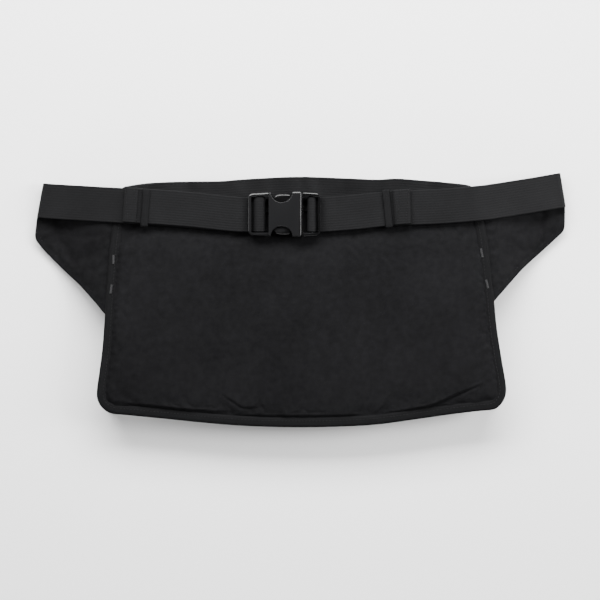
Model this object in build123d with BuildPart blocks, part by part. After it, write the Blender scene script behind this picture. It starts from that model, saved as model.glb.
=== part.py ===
"""Waist pack lying on its front face, back panel up, belt buckled and folded flat over it.

Frame: millimetres, X along the belt, Y towards the zipped top of the pouch, Z up.
Origin under the middle of the pack on the surface it lies on.
"""

import math
import os

from build123d import *

os.makedirs("parts", exist_ok=True)

# Pouch outline, seen from the back panel.
TOP_HALF_WIDTH = 152.0
WAIST_HALF_WIDTH = 163.6
BASE_HALF_WIDTH = 178.5
TOP_Y = 101.5
WAIST_Y = 18.0
CORNER_Y = -92.0
BASE_Y = -108.1
TOP_CORNER_RADIUS = 8.0
WAIST_RADIUS = 120.0
BASE_CORNER_RADIUS = 17.0

# Heights of the layers above the surface.
FRONT_PANEL_Z = 0.8
FRONT_PANEL_TOP = 3.2
BACK_PANEL_Z = 28.0
BACK_PANEL_TOP = 30.4
CROWN_HEIGHT = 1.0
CROWN_INSET = 9.0
LINING_THICKNESS = 0.8
LINING_INSET = 7.5
FOAM_THICKNESS = 2.4
FOAM_INSET = 8.0

# Edge binding folded over the seam allowances.
BINDING_THICKNESS = 0.8
BINDING_WIDTH = 7.0

# Side wall.
WALL_INSET = 5.5
WALL_THICKNESS = 1.6
WALL_Z = FRONT_PANEL_TOP + BINDING_THICKNESS
WALL_TOP = BACK_PANEL_Z - BINDING_THICKNESS

# Zip in the top wall.
ZIP_HALF_LENGTH = 128.0
ZIP_Z = 15.6
ZIP_WALL_Y = TOP_Y - WALL_INSET
STRIP_EDGE = 5.2
TAPE_THICKNESS = 0.8
TAPE_EDGE = 0.9
TAPE_WIDTH = 8.2
COIL_WIDTH = 1.15
COIL_HEIGHT = 1.4
COIL_GAP = 0.1
COIL_HALF_LENGTH = 118.0
SLIDER_X = 112.0
SLIDER_LENGTH = 11.5
SLIDER_WIDTH = 9.2
SLIDER_PLATE = 1.4
SLIDER_GAP = 0.3
BRIDGE_LENGTH = 7.5
BRIDGE_WIDTH = 2.0
BRIDGE_HEIGHT = 2.4
BRIDGE_BAR = 0.8
PULLER_LENGTH = 27.0
PULLER_WIDTH = 7.0
PULLER_THICKNESS = 1.1

# Wings that carry the belt: distances from the centre line, and the plan of the right one.
WING_THICKNESS = 3.2
WING_TIP_Z = 5.5
WING_ROOT_Z = 29.2
WING_ROOT_X = 145.0
WING_SEAM_X = 158.0
WING_SLOPE_END_X = 205.0
WING_FLAT_END_X = 232.0
WING_BEND_RADIUS = 9.0
WING_TIP_FILLET = 4.0
WING_PLAN = (
    (148.0, 93.0),
    (219.0, 98.0),
    (221.2, 70.0),
    (226.2, 57.5),
    (166.6, -5.0),
    (148.0, -5.0),
)

# Belt webbing.
WEBBING_WIDTH = 30.0
WEBBING = 1.4
BELT_Y = 73.35
STRAP_Z = 35.3
TAIL_Z = 37.1
OVER_BAR_Z = 41.0
STRAP_FLAT_END_X = 148.0
FOLD_X = 222.0
FOLD_LOW_Z = 3.2
FOLD_RADIUS = 4.2
FOLD_CENTRE_BACK = 2.0
SEWN_LENGTH = 24.0
LACING_RADIUS = 1.1
BACK_WEBBING_LENGTH = 296.0
BACK_WEBBING_Y = 86.0
BACK_WEBBING_Z = BACK_PANEL_TOP + CROWN_HEIGHT

# Buckle, both halves.
BUCKLE_HALF_WIDTH = 19.6
BUCKLE_Z = 34.8
BUCKLE_TOP = 45.4
RAIL_Z = 36.6
RAIL_TOP = 42.6
RAIL_INNER = 15.5
CENTRE_BAR_Z = 36.5
CENTRE_BAR_TOP = 39.9
END_BAR_Z = 38.2
CAVITY_Z = 37.1
CAVITY_TOP = 43.1
MID_Z = 40.1
FLANGE_STEP = 0.4

# Small values used in the making: how far one part of a solid is let into the next, how near a
# corner is looked for, and a height greater than the pouch's.
LET_IN = 1.0
NEAR = 1.0
TALL = 60.0


def save(part, name):
    part.label = name
    export_step(part, f"parts/{name}.step")


def outline(grow=0.0):
    """Seam outline of the pouch, grown or shrunk evenly."""
    with BuildSketch() as flat:
        with BuildLine():
            Polyline(
                (-BASE_HALF_WIDTH, CORNER_Y),
                (-WAIST_HALF_WIDTH, WAIST_Y),
                (-TOP_HALF_WIDTH, TOP_Y),
                (TOP_HALF_WIDTH, TOP_Y),
                (WAIST_HALF_WIDTH, WAIST_Y),
                (BASE_HALF_WIDTH, CORNER_Y),
            )
            ThreePointArc((BASE_HALF_WIDTH, CORNER_Y), (0, BASE_Y), (-BASE_HALF_WIDTH, CORNER_Y))
        make_face()
        fillet(flat.vertices().filter_by(lambda v: v.Y > WAIST_Y + NEAR), TOP_CORNER_RADIUS)
        fillet(flat.vertices().filter_by(lambda v: abs(v.Y - WAIST_Y) < NEAR), WAIST_RADIUS)
        fillet(flat.vertices().filter_by(lambda v: v.Y < CORNER_Y + NEAR), BASE_CORNER_RADIUS)
        if grow:
            offset(amount=grow, mode=Mode.REPLACE)
    return flat.sketch


seam_edge = outline()
binding_outer = outline(BINDING_THICKNESS)
binding_inner = outline(-BINDING_WIDTH)
crown_edge = outline(-CROWN_INSET)
lining_edge = outline(-LINING_INSET)
foam_edge = outline(-FOAM_INSET)
wall_outer = outline(-WALL_INSET)
wall_inner = outline(-WALL_INSET - WALL_THICKNESS)

# Front panel: the outer face, padded, lying on the surface.
with BuildPart() as front_panel:
    with BuildSketch(Plane.XY.offset(FRONT_PANEL_Z)):
        add(seam_edge)
    extrude(amount=FRONT_PANEL_TOP - FRONT_PANEL_Z)
    with BuildSketch():
        add(crown_edge)
    extrude(amount=FRONT_PANEL_Z)
save(front_panel.part, "front_panel")

# Front lining: thin cloth on the inside of the front panel.
with BuildPart() as front_lining:
    with BuildSketch(Plane.XY.offset(FRONT_PANEL_TOP)):
        add(lining_edge)
    extrude(amount=LINING_THICKNESS)
save(front_lining.part, "front_lining")

# Back panel: the cloth face that lies against the wearer, slightly crowned.
with BuildPart() as back_panel:
    with BuildSketch(Plane.XY.offset(BACK_PANEL_Z)):
        add(seam_edge)
    extrude(amount=BACK_PANEL_TOP - BACK_PANEL_Z)
    with BuildSketch(Plane.XY.offset(BACK_PANEL_TOP)):
        add(crown_edge)
    extrude(amount=CROWN_HEIGHT)
save(back_panel.part, "back_panel")

# Back foam: the sheet of padding behind the back panel.
with BuildPart() as back_foam:
    with BuildSketch(Plane.XY.offset(BACK_PANEL_Z - FOAM_THICKNESS)):
        add(foam_edge)
    extrude(amount=FOAM_THICKNESS)
save(back_foam.part, "back_foam")

# Back lining: thin cloth that holds the foam from inside the pouch.
with BuildPart() as back_lining:
    with BuildSketch(Plane.XY.offset(BACK_PANEL_Z - FOAM_THICKNESS - LINING_THICKNESS)):
        add(lining_edge)
    extrude(amount=LINING_THICKNESS)
save(back_lining.part, "back_lining")


def binding(panel_bottom, panel_top):
    """Tape folded over the edge of a panel and the seam allowance."""
    with BuildPart() as tape:
        with BuildSketch(Plane.XY.offset(panel_bottom - BINDING_THICKNESS)):
            add(binding_outer)
            add(binding_inner, mode=Mode.SUBTRACT)
        extrude(amount=panel_top - panel_bottom + 2 * BINDING_THICKNESS)
        with BuildSketch(Plane.XY.offset(panel_bottom)):
            add(seam_edge)
        extrude(amount=panel_top - panel_bottom, mode=Mode.SUBTRACT)
    return tape.part


save(binding(FRONT_PANEL_Z, FRONT_PANEL_TOP), "front_binding")
save(binding(BACK_PANEL_Z, BACK_PANEL_TOP), "back_binding")

# Side gusset: one strip round both sides and the bottom, open where the zip panel sits.
with BuildPart() as side_gusset:
    with BuildSketch(Plane.XY.offset(WALL_Z)):
        add(wall_outer)
        add(wall_inner, mode=Mode.SUBTRACT)
        with Locations((0, ZIP_WALL_Y)):
            Rectangle(2 * ZIP_HALF_LENGTH, 2 * WALL_INSET, mode=Mode.SUBTRACT)
    extrude(amount=WALL_TOP - WALL_Z)
save(side_gusset.part, "side_gusset")


def wall_box(x_centre, length, y_low, y_high, z_low, z_high):
    """Plain block placed by its length along the zip and its Y and Z limits."""
    with BuildPart() as block:
        with BuildSketch(Plane.XY.offset(z_low)):
            with Locations((x_centre, (y_low + y_high) / 2)):
                Rectangle(length, y_high - y_low)
        extrude(amount=z_high - z_low)
    return block.part


# Zip strips: cloth between the zip tape and each panel.
strip_inner_y = ZIP_WALL_Y - WALL_THICKNESS
zip_length = 2 * ZIP_HALF_LENGTH
save(
    wall_box(0, zip_length, strip_inner_y, ZIP_WALL_Y, WALL_Z, ZIP_Z - STRIP_EDGE),
    "zip_strip_front",
)
save(
    wall_box(0, zip_length, strip_inner_y, ZIP_WALL_Y, ZIP_Z + STRIP_EDGE, WALL_TOP),
    "zip_strip_back",
)

# Zip tapes: one woven tape under each strip, meeting at the coil.
tape_y = strip_inner_y - TAPE_THICKNESS
tape_near, tape_far = TAPE_EDGE, TAPE_EDGE + TAPE_WIDTH
save(
    wall_box(0, zip_length, tape_y, strip_inner_y, ZIP_Z - tape_far, ZIP_Z - tape_near),
    "zipper_tape_front",
)
save(
    wall_box(0, zip_length, tape_y, strip_inner_y, ZIP_Z + tape_near, ZIP_Z + tape_far),
    "zipper_tape_back",
)

# Zip coils: the two rows of teeth, sewn to the edges of the tapes.
coil_length = COIL_HALF_LENGTH + SLIDER_X
coil_x = (SLIDER_X - COIL_HALF_LENGTH) / 2
coil_half_gap = COIL_GAP / 2
coil_y = strip_inner_y + COIL_HEIGHT
coil_far = coil_half_gap + COIL_WIDTH
save(
    wall_box(coil_x, coil_length, strip_inner_y, coil_y, ZIP_Z - coil_far, ZIP_Z - coil_half_gap),
    "zipper_coil_front",
)
save(
    wall_box(coil_x, coil_length, strip_inner_y, coil_y, ZIP_Z + coil_half_gap, ZIP_Z + coil_far),
    "zipper_coil_back",
)

# End tabs: a scrap of cloth sewn over each end of the zip.
TAB_X = 127.0
TAB_LENGTH = 10.0
TAB_THICKNESS = 1.0
TAB_MARGIN = 2.0
for side, tab_name in ((-1, "zip_end_tab_left"), (1, "zip_end_tab_right")):
    save(
        wall_box(
            side * TAB_X,
            TAB_LENGTH,
            ZIP_WALL_Y,
            ZIP_WALL_Y + TAB_THICKNESS,
            ZIP_Z - STRIP_EDGE - TAB_MARGIN,
            ZIP_Z + STRIP_EDGE + TAB_MARGIN,
        ),
        tab_name,
    )

# Slider: outer and inner plates joined by a post, side flanges and a bridge for the puller.
PLATE_CLEARANCE = 0.1
plate_low = ZIP_WALL_Y + PLATE_CLEARANCE
plate_high = plate_low + SLIDER_PLATE
inner_plate_high = tape_y - SLIDER_GAP
POST_LENGTH = 3.0
POST_WIDTH = 1.2
FLANGE_WIDTH = 1.0
post_x = SLIDER_X + (SLIDER_LENGTH - POST_LENGTH) / 2
with BuildPart() as zipper_slider:
    with BuildSketch(Plane.XY.offset(ZIP_Z - SLIDER_WIDTH / 2)):
        with Locations((SLIDER_X, (plate_low + plate_high) / 2)):
            Rectangle(SLIDER_LENGTH, SLIDER_PLATE)
        with Locations((SLIDER_X, inner_plate_high - SLIDER_PLATE / 2)):
            Rectangle(SLIDER_LENGTH, SLIDER_PLATE)
    extrude(amount=SLIDER_WIDTH)
    with BuildSketch(Plane.XY.offset(ZIP_Z - POST_WIDTH / 2)):
        with Locations((post_x, (inner_plate_high + plate_low) / 2)):
            Rectangle(POST_LENGTH, plate_low - inner_plate_high)
    extrude(amount=POST_WIDTH)
    flange_y = (strip_inner_y + SLIDER_GAP + plate_low) / 2
    for flange_z in (ZIP_Z - SLIDER_WIDTH / 2, ZIP_Z + SLIDER_WIDTH / 2 - FLANGE_WIDTH):
        with BuildSketch(Plane.XY.offset(flange_z)):
            with Locations((SLIDER_X, flange_y)):
                Rectangle(SLIDER_LENGTH, plate_low - strip_inner_y - SLIDER_GAP)
        extrude(amount=FLANGE_WIDTH)
    with BuildSketch(Plane.XY.offset(ZIP_Z - BRIDGE_WIDTH / 2)):
        with Locations((SLIDER_X, plate_high + BRIDGE_HEIGHT / 2)):
            Rectangle(BRIDGE_LENGTH, BRIDGE_HEIGHT)
        with Locations((SLIDER_X, plate_high + (BRIDGE_HEIGHT - BRIDGE_BAR) / 2)):
            Rectangle(
                BRIDGE_LENGTH - 2 * BRIDGE_BAR,
                BRIDGE_HEIGHT - BRIDGE_BAR,
                mode=Mode.SUBTRACT,
            )
    extrude(amount=BRIDGE_WIDTH)
save(zipper_slider.part, "zipper_slider")

# Puller: a flat tab whose cross bar runs under the bridge, lying along the zip.
pivot_y = plate_high + (BRIDGE_HEIGHT - BRIDGE_BAR) / 2
PULLER_HEAD = 6.0
ARM_WIDTH = 1.4
HOLE_LENGTH = 9.0
HOLE_WIDTH = 3.0
with BuildPart() as zipper_puller:
    with BuildSketch(Plane.XY.offset(ZIP_Z - PULLER_WIDTH / 2)):
        with Locations((SLIDER_X, pivot_y)):
            Circle(PULLER_THICKNESS / 2)
        with Locations((SLIDER_X - PULLER_LENGTH / 2, pivot_y)):
            Rectangle(PULLER_LENGTH, PULLER_THICKNESS)
    extrude(amount=PULLER_WIDTH)
    with BuildSketch(Plane.XZ.offset(-pivot_y)):
        with Locations((SLIDER_X - PULLER_HEAD / 2 - PULLER_THICKNESS / 2, ZIP_Z)):
            Rectangle(PULLER_HEAD, PULLER_WIDTH - 2 * ARM_WIDTH)
        with Locations((SLIDER_X - PULLER_LENGTH + HOLE_LENGTH, ZIP_Z)):
            SlotOverall(HOLE_LENGTH, HOLE_WIDTH)
    extrude(amount=PULLER_THICKNESS, both=True, mode=Mode.SUBTRACT)
save(zipper_puller.part, "zipper_puller")


def wing(side):
    """Padded triangular flap from the side seam down to the end of the belt."""
    with BuildPart() as flap:
        with BuildSketch(Plane.XZ):
            with BuildLine() as spine:
                FilletPolyline(
                    (side * WING_ROOT_X, WING_ROOT_Z),
                    (side * WING_SEAM_X, WING_ROOT_Z),
                    (side * WING_SLOPE_END_X, WING_TIP_Z),
                    (side * WING_FLAT_END_X, WING_TIP_Z),
                    radius=WING_BEND_RADIUS,
                )
            trace(spine.line, line_width=WING_THICKNESS)
        extrude(amount=TOP_Y, both=True)
        with BuildSketch() as plan:
            with BuildLine():
                Polyline([(side * x, y) for x, y in WING_PLAN], close=True)
            make_face()
            fillet(plan.vertices().sort_by(Axis.X)[-1 if side > 0 else 0], WING_TIP_FILLET)
        extrude(amount=TALL, mode=Mode.INTERSECT)
        with BuildSketch():
            add(binding_outer)
        extrude(amount=TALL, mode=Mode.SUBTRACT)
    return flap.part


save(wing(-1), "left_wing")
save(wing(1), "right_wing")

# Back webbing: the length of belt sewn across the top of the back panel.
with BuildPart() as belt_webbing:
    with BuildSketch(Plane.XY.offset(BACK_WEBBING_Z)):
        with Locations((0, BACK_WEBBING_Y)):
            Rectangle(BACK_WEBBING_LENGTH, WEBBING_WIDTH)
    extrude(amount=WEBBING)
save(belt_webbing.part, "belt_webbing")

# Each half of the belt. The bend just outside the buckle and the tail end are given as distances
# along X from the centre of the pack, the slope is the lie of the strap in degrees, and the
# turns are where the webbing passes each side of its buckle bar.
LEFT_LIE = {"side": -1, "bend": 50.0, "tail": 151.0, "slope": 3.8}
RIGHT_LIE = {"side": 1, "bend": 24.0, "tail": 95.4, "slope": 5.9}
LEFT_TURNS = (28.3, 39.6)
RIGHT_TURNS = (4.7, 13.5)
HEM_LENGTH = 12.0


def strap(lie, turns):
    """Webbing from under the wing, round its end, to the buckle bar and back as a tail."""
    side, bend = lie["side"], lie["bend"]
    inner, outer = turns
    across = Plane((0, BELT_Y, 0), x_dir=(side, 0, 0), z_dir=(0, -side, 0))
    angle = math.radians(lie["slope"])
    along = (side * math.cos(angle), math.sin(angle), 0)
    normal = (math.sin(angle), -side * math.cos(angle), 0)
    slanted = Plane((side * bend, BELT_Y, 0), x_dir=along, z_dir=normal)
    fold_low, fold_high = FOLD_LOW_Z, FOLD_LOW_Z + 2 * FOLD_RADIUS
    turn = (FOLD_X - bend) / math.cos(angle) - FOLD_CENTRE_BACK
    with BuildPart() as webbing:
        with BuildSketch(across):
            with BuildLine() as loop:
                FilletPolyline(
                    (bend + LET_IN, STRAP_Z),
                    (inner, STRAP_Z),
                    (inner, OVER_BAR_Z),
                    (outer, OVER_BAR_Z),
                    (outer, TAIL_Z),
                    (bend + LET_IN, TAIL_Z),
                    radius=LACING_RADIUS,
                )
            trace(loop.line, line_width=WEBBING)
        extrude(amount=WEBBING_WIDTH / 2, both=True)
        with BuildSketch(slanted):
            with BuildLine() as run:
                Polyline((-LET_IN, STRAP_Z), (STRAP_FLAT_END_X - bend, STRAP_Z), (turn, fold_high))
                ThreePointArc(
                    (turn, fold_high),
                    (turn + FOLD_RADIUS + LET_IN, (fold_low + fold_high) / 2),
                    (turn, fold_low),
                )
                Line((turn, fold_low), (turn - SEWN_LENGTH, fold_low))
            trace(run.line, line_width=WEBBING)
        extrude(amount=WEBBING_WIDTH / 2, both=True)
        with BuildSketch(slanted):
            with Locations(((lie["tail"] - bend - LET_IN) / 2, TAIL_Z)):
                Rectangle(lie["tail"] - bend + LET_IN, WEBBING)
            with Locations((lie["tail"] - bend - HEM_LENGTH / 2, TAIL_Z + WEBBING)):
                Rectangle(HEM_LENGTH, WEBBING)
        extrude(amount=WEBBING_WIDTH / 2, both=True)
    return webbing.part


save(strap(LEFT_LIE, LEFT_TURNS), "left_strap")
save(strap(RIGHT_LIE, RIGHT_TURNS), "right_strap")

# Keepers: elastic loops that hold each tail down on the belt.
KEEPER_LENGTH = 7.0
KEEPER_WALL = 0.7
KEEPER_GAP = 0.3
LEFT_KEEPER_X = 132.8
RIGHT_KEEPER_X = 75.0


def keeper(lie, centre):
    """Flat elastic loop round the belt and its tail."""
    side, bend = lie["side"], lie["bend"]
    angle = math.radians(lie["slope"])
    along = (side * math.cos(angle), math.sin(angle), 0)
    start = Vector(side * bend, BELT_Y, 0) + Vector(along) * (centre - bend - KEEPER_LENGTH / 2)
    section = Plane(start, x_dir=(0, 0, 1), z_dir=along)
    low = STRAP_Z - WEBBING / 2 - KEEPER_GAP
    high = TAIL_Z + WEBBING / 2 + KEEPER_GAP
    inner_width = WEBBING_WIDTH + 2 * KEEPER_GAP
    with BuildPart() as loop:
        with BuildSketch(section):
            with Locations(((low + high) / 2, 0)):
                Rectangle(high - low + 2 * KEEPER_WALL, inner_width + 2 * KEEPER_WALL)
                Rectangle(high - low, inner_width, mode=Mode.SUBTRACT)
        extrude(amount=KEEPER_LENGTH)
    return loop.part


save(keeper(LEFT_LIE, LEFT_KEEPER_X), "left_keeper")
save(keeper(RIGHT_LIE, RIGHT_KEEPER_X), "right_keeper")


def frame(rail_x, end_bar, centre_bar):
    """Two side rails with the two cross bars that the webbing is laced round."""
    rail_width = BUCKLE_HALF_WIDTH - RAIL_INNER
    rail_centre = (BUCKLE_HALF_WIDTH + RAIL_INNER) / 2
    with BuildPart() as ladder:
        with BuildSketch(Plane.XY.offset(RAIL_Z)):
            with Locations(
                (sum(rail_x) / 2, BELT_Y - rail_centre),
                (sum(rail_x) / 2, BELT_Y + rail_centre),
            ):
                Rectangle(abs(rail_x[1] - rail_x[0]), rail_width)
        extrude(amount=RAIL_TOP - RAIL_Z)
        for bar_x, bar_z, bar_top in (
            (end_bar, END_BAR_Z, RAIL_TOP),
            (centre_bar, CENTRE_BAR_Z, CENTRE_BAR_TOP),
        ):
            with BuildSketch(Plane.XY.offset(bar_z)):
                with Locations((sum(bar_x) / 2, BELT_Y)):
                    Rectangle(bar_x[1] - bar_x[0], 2 * RAIL_INNER + LET_IN)
            extrude(amount=bar_top - bar_z)
    return ladder.part


# Buckle socket: hollow body with finger windows, and a two-bar frame for the webbing.
SOCKET_BODY = (-27.1, 1.2)
SOCKET_FRAME_END = -43.5
SOCKET_END_BAR = (-43.5, -41.2)
SOCKET_CENTRE_BAR = (-38.4, -29.5)
COLLAR_X = -6.6
CAVITY_BACK = -25.0
CAVITY_HALF_WIDTH = 17.9
COLLAR_HALF_WIDTH = 16.2
WINDOW_X = -16.0
WINDOW_RADIUS = 9.4
socket_frame = frame((SOCKET_FRAME_END, SOCKET_BODY[0]), SOCKET_END_BAR, SOCKET_CENTRE_BAR)
with BuildPart() as buckle_socket:
    with BuildSketch(Plane.XY.offset(BUCKLE_Z)):
        with Locations((sum(SOCKET_BODY) / 2, BELT_Y)):
            Rectangle(SOCKET_BODY[1] - SOCKET_BODY[0], 2 * BUCKLE_HALF_WIDTH)
    extrude(amount=BUCKLE_TOP - BUCKLE_Z)
    add(socket_frame)
    with BuildSketch(Plane.XY.offset(CAVITY_Z)):
        with Locations(((CAVITY_BACK + COLLAR_X) / 2, BELT_Y)):
            Rectangle(COLLAR_X - CAVITY_BACK, 2 * CAVITY_HALF_WIDTH)
        with Locations(((COLLAR_X + SOCKET_BODY[1]) / 2, BELT_Y)):
            Rectangle(SOCKET_BODY[1] - COLLAR_X + LET_IN, 2 * COLLAR_HALF_WIDTH)
    extrude(amount=CAVITY_TOP - CAVITY_Z, mode=Mode.SUBTRACT)
    with BuildSketch(Plane.XY.offset(BUCKLE_Z)):
        with Locations(
            (WINDOW_X, BELT_Y - BUCKLE_HALF_WIDTH),
            (WINDOW_X, BELT_Y + BUCKLE_HALF_WIDTH),
        ):
            Circle(WINDOW_RADIUS)
    extrude(amount=BUCKLE_TOP - BUCKLE_Z, mode=Mode.SUBTRACT)
save(buckle_socket.part, "buckle_socket")

# Buckle plug: end flange, guide tongue and a two-bar frame for the webbing.
PLUG_FLANGE = (1.8, 3.4)
PLUG_FRAME_END = 17.2
PLUG_END_BAR = (14.9, 17.2)
PLUG_CENTRE_BAR = (5.9, 12.3)
GUIDE_LENGTH = 21.5
GUIDE_HALF_WIDTH = 4.5
GUIDE_HEIGHT = 4.0
plug_frame = frame((PLUG_FLANGE[1], PLUG_FRAME_END), PLUG_END_BAR, PLUG_CENTRE_BAR)
with BuildPart() as buckle_plug:
    with BuildSketch(Plane.XY.offset(BUCKLE_Z + FLANGE_STEP)):
        with Locations((sum(PLUG_FLANGE) / 2, BELT_Y)):
            Rectangle(PLUG_FLANGE[1] - PLUG_FLANGE[0], 2 * BUCKLE_HALF_WIDTH)
    extrude(amount=BUCKLE_TOP - BUCKLE_Z - 2 * FLANGE_STEP)
    add(plug_frame)
    with BuildSketch(Plane.XY.offset(MID_Z - GUIDE_HEIGHT / 2)):
        with Locations((PLUG_FLANGE[0] - GUIDE_LENGTH / 2, BELT_Y)):
            Rectangle(GUIDE_LENGTH, 2 * GUIDE_HALF_WIDTH)
    extrude(amount=GUIDE_HEIGHT)
save(buckle_plug.part, "buckle_plug")

# Prongs: the two springy arms of the plug, with the pads that show in the finger windows.
PRONG_HEIGHT = 5.2
PRONG_SHAPE = (
    (1.3, 13.5),
    (-6.0, 14.4),
    (-8.6, 15.2),
    (-8.6, 17.4),
    (-19.5, 17.4),
    (-22.4, 14.8),
    (-22.4, 13.4),
    (-18.0, 14.8),
    (-9.6, 13.9),
    (-6.0, 12.0),
    (1.3, 10.9),
)
for side, prong_name in ((-1, "plug_prong_lower"), (1, "plug_prong_upper")):
    with BuildPart() as prong:
        with BuildSketch(Plane.XY.offset(MID_Z - PRONG_HEIGHT / 2)):
            with BuildLine():
                Polyline([(x, BELT_Y + side * y) for x, y in PRONG_SHAPE], close=True)
            make_face()
        extrude(amount=PRONG_HEIGHT)
    save(prong.part, prong_name)

# Bar tacks: four dense rows of thread that anchor the wings at the side seams.
TACK_LENGTH = 7.7
TACK_WIDTH = 2.6
TACK_HEIGHT = 0.5
TACKS = ((-158.6, 35.0, 88.0), (-161.6, 9.6, 83.0), (156.2, 41.0, 101.0), (160.4, 14.0, 104.0))
with BuildPart() as bar_tacks:
    for tack_x, tack_y, turn in TACKS:
        with BuildSketch(Plane.XY.offset(BACK_PANEL_TOP + BINDING_THICKNESS)):
            with Locations(Location((tack_x, tack_y, 0), (0, 0, turn))):
                Rectangle(TACK_LENGTH, TACK_WIDTH)
        extrude(amount=TACK_HEIGHT)
save(bar_tacks.part, "bar_tacks")
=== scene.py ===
import math

import bmesh
import bpy
import numpy as np
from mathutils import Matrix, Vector, noise
from mathutils.geometry import delaunay_2d_cdt


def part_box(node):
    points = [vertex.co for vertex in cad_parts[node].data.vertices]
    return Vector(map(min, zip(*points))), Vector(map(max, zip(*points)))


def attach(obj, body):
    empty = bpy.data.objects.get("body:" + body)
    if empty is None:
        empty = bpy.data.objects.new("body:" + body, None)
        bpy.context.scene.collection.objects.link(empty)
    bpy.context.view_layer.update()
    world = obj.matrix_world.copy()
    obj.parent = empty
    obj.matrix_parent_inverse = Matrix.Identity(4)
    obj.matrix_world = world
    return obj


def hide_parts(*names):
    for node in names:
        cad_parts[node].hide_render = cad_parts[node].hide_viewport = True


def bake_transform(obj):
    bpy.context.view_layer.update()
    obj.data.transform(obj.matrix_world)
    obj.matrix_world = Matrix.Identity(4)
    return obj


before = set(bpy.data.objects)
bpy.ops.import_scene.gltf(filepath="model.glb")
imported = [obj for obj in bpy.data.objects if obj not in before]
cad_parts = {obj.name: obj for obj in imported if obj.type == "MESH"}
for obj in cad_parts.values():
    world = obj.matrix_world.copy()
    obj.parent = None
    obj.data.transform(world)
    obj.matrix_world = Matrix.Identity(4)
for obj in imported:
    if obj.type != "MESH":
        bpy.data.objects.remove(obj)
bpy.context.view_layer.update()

# ---------------------------------------------------------------- camera, light and floor
# The pack lies flat and is seen straight down, zipped top of the pouch uppermost in the view.
# The main light is a big soft box beyond the top edge, with a weaker one low on the other side.
CAMERA_HEIGHT = 3.2
VIEW_CENTRE = (-0.0002, 0.0002)
VIEW_WIDTH = 0.5142
VIEW_PLANE = 0.033
FLOOR_REACH = 6.0

camera_data = bpy.data.cameras.new("camera")
camera_data.lens = camera_data.sensor_width * (CAMERA_HEIGHT - VIEW_PLANE) / VIEW_WIDTH
camera_data.clip_end = 20.0
camera = bpy.data.objects.new("camera", camera_data)
camera.location = (*VIEW_CENTRE, CAMERA_HEIGHT)
bpy.context.scene.collection.objects.link(camera)
bpy.context.scene.camera = camera


def softbox(name, place, size, power, aim=(0.0, 0.0, 0.02)):
    """A square lamp of a size in metres and a power in watts, turned to the middle of the pack."""
    lamp = bpy.data.lights.new(name, "AREA")
    lamp.shape = "RECTANGLE"
    lamp.size, lamp.size_y = size
    lamp.energy = power
    stand = bpy.data.objects.new(name, lamp)
    stand.location = place
    stand.rotation_euler = (Vector(aim) - Vector(place)).to_track_quat("-Z", "Y").to_euler()
    bpy.context.scene.collection.objects.link(stand)


softbox("softbox_top", (-0.05, 0.78, 0.7), (1.4, 0.45), 50.0)
softbox("softbox_left", (-1.6, 0.1, 0.75), (0.5, 1.2), 17.0)
softbox("softbox_right", (1.5, 0.25, 0.95), (0.6, 1.1), 56.0)
softbox("softbox_low", (-0.2, -1.6, 0.95), (1.4, 0.5), 13.0)
sky = bpy.data.worlds.new("studio")
sky.use_nodes = True
sky.node_tree.nodes["Background"].inputs["Color"].default_value = (1.0, 1.0, 1.0, 1.0)
sky.node_tree.nodes["Background"].inputs["Strength"].default_value = 0.1
bpy.context.scene.world = sky


class Channel:
    """A node socket that can be written into sums, and from which further nodes are placed."""

    def __init__(self, tree, socket=None):
        self.tree, self.socket = tree, socket

    def node(self, kind, sockets=None, out=0, **settings):
        made = self.tree.nodes.new("ShaderNode" + kind)
        for key, value in settings.items():
            if key == "stops":
                ramp = made.color_ramp.elements
                while len(ramp) < len(value):
                    ramp.new(0.5)
                for stop, (place, shade) in zip(ramp, value):
                    stop.position = place
                    stop.color = (shade, shade, shade, 1.0) if np.isscalar(shade) else shade
            else:
                setattr(made, key, value)
        for key, value in (sockets or {}).items():
            if isinstance(value, Channel):
                self.tree.links.new(value.socket, made.inputs[key])
            else:
                made.inputs[key].default_value = value
        return Channel(self.tree, made.outputs[out])

    def math(self, operation, second=None, first=None):
        terms = {0: self if first is None else first}
        if second is not None:
            terms[1] = second
        return self.node("Math", terms, operation=operation)

    def __add__(self, other):
        return self.math("ADD", other)

    def __sub__(self, other):
        return self.math("SUBTRACT", other)

    def __rsub__(self, other):
        return self.math("SUBTRACT", self, other)

    def __mul__(self, other):
        return self.math("MULTIPLY", other)

    __radd__, __rmul__ = __add__, __mul__


def start_material(name):
    """An empty material and the Channel that its nodes are placed from."""
    made = bpy.data.materials.new(name)
    made.use_nodes = True
    made.node_tree.nodes.clear()
    return made, Channel(made.node_tree)


def close_material(begin, colour, roughness, height=None, depth=0.1, reach=0.001, **fixed):
    """Ends a material: colour and roughness may vary, height is bumped, the rest is set once."""
    sockets = {"Base Color": colour, "Roughness": roughness}
    if height is not None:
        sockets["Normal"] = begin.node(
            "Bump", {"Height": height, "Strength": depth, "Distance": reach}
        )
    for key, value in fixed.items():
        sockets[key.replace("_", " ").title().replace("Ior", "IOR")] = value
    surface = begin.node("BsdfPrincipled", sockets)
    end = begin.tree.nodes.new("ShaderNodeOutputMaterial")
    begin.tree.links.new(surface.socket, end.inputs["Surface"])


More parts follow.
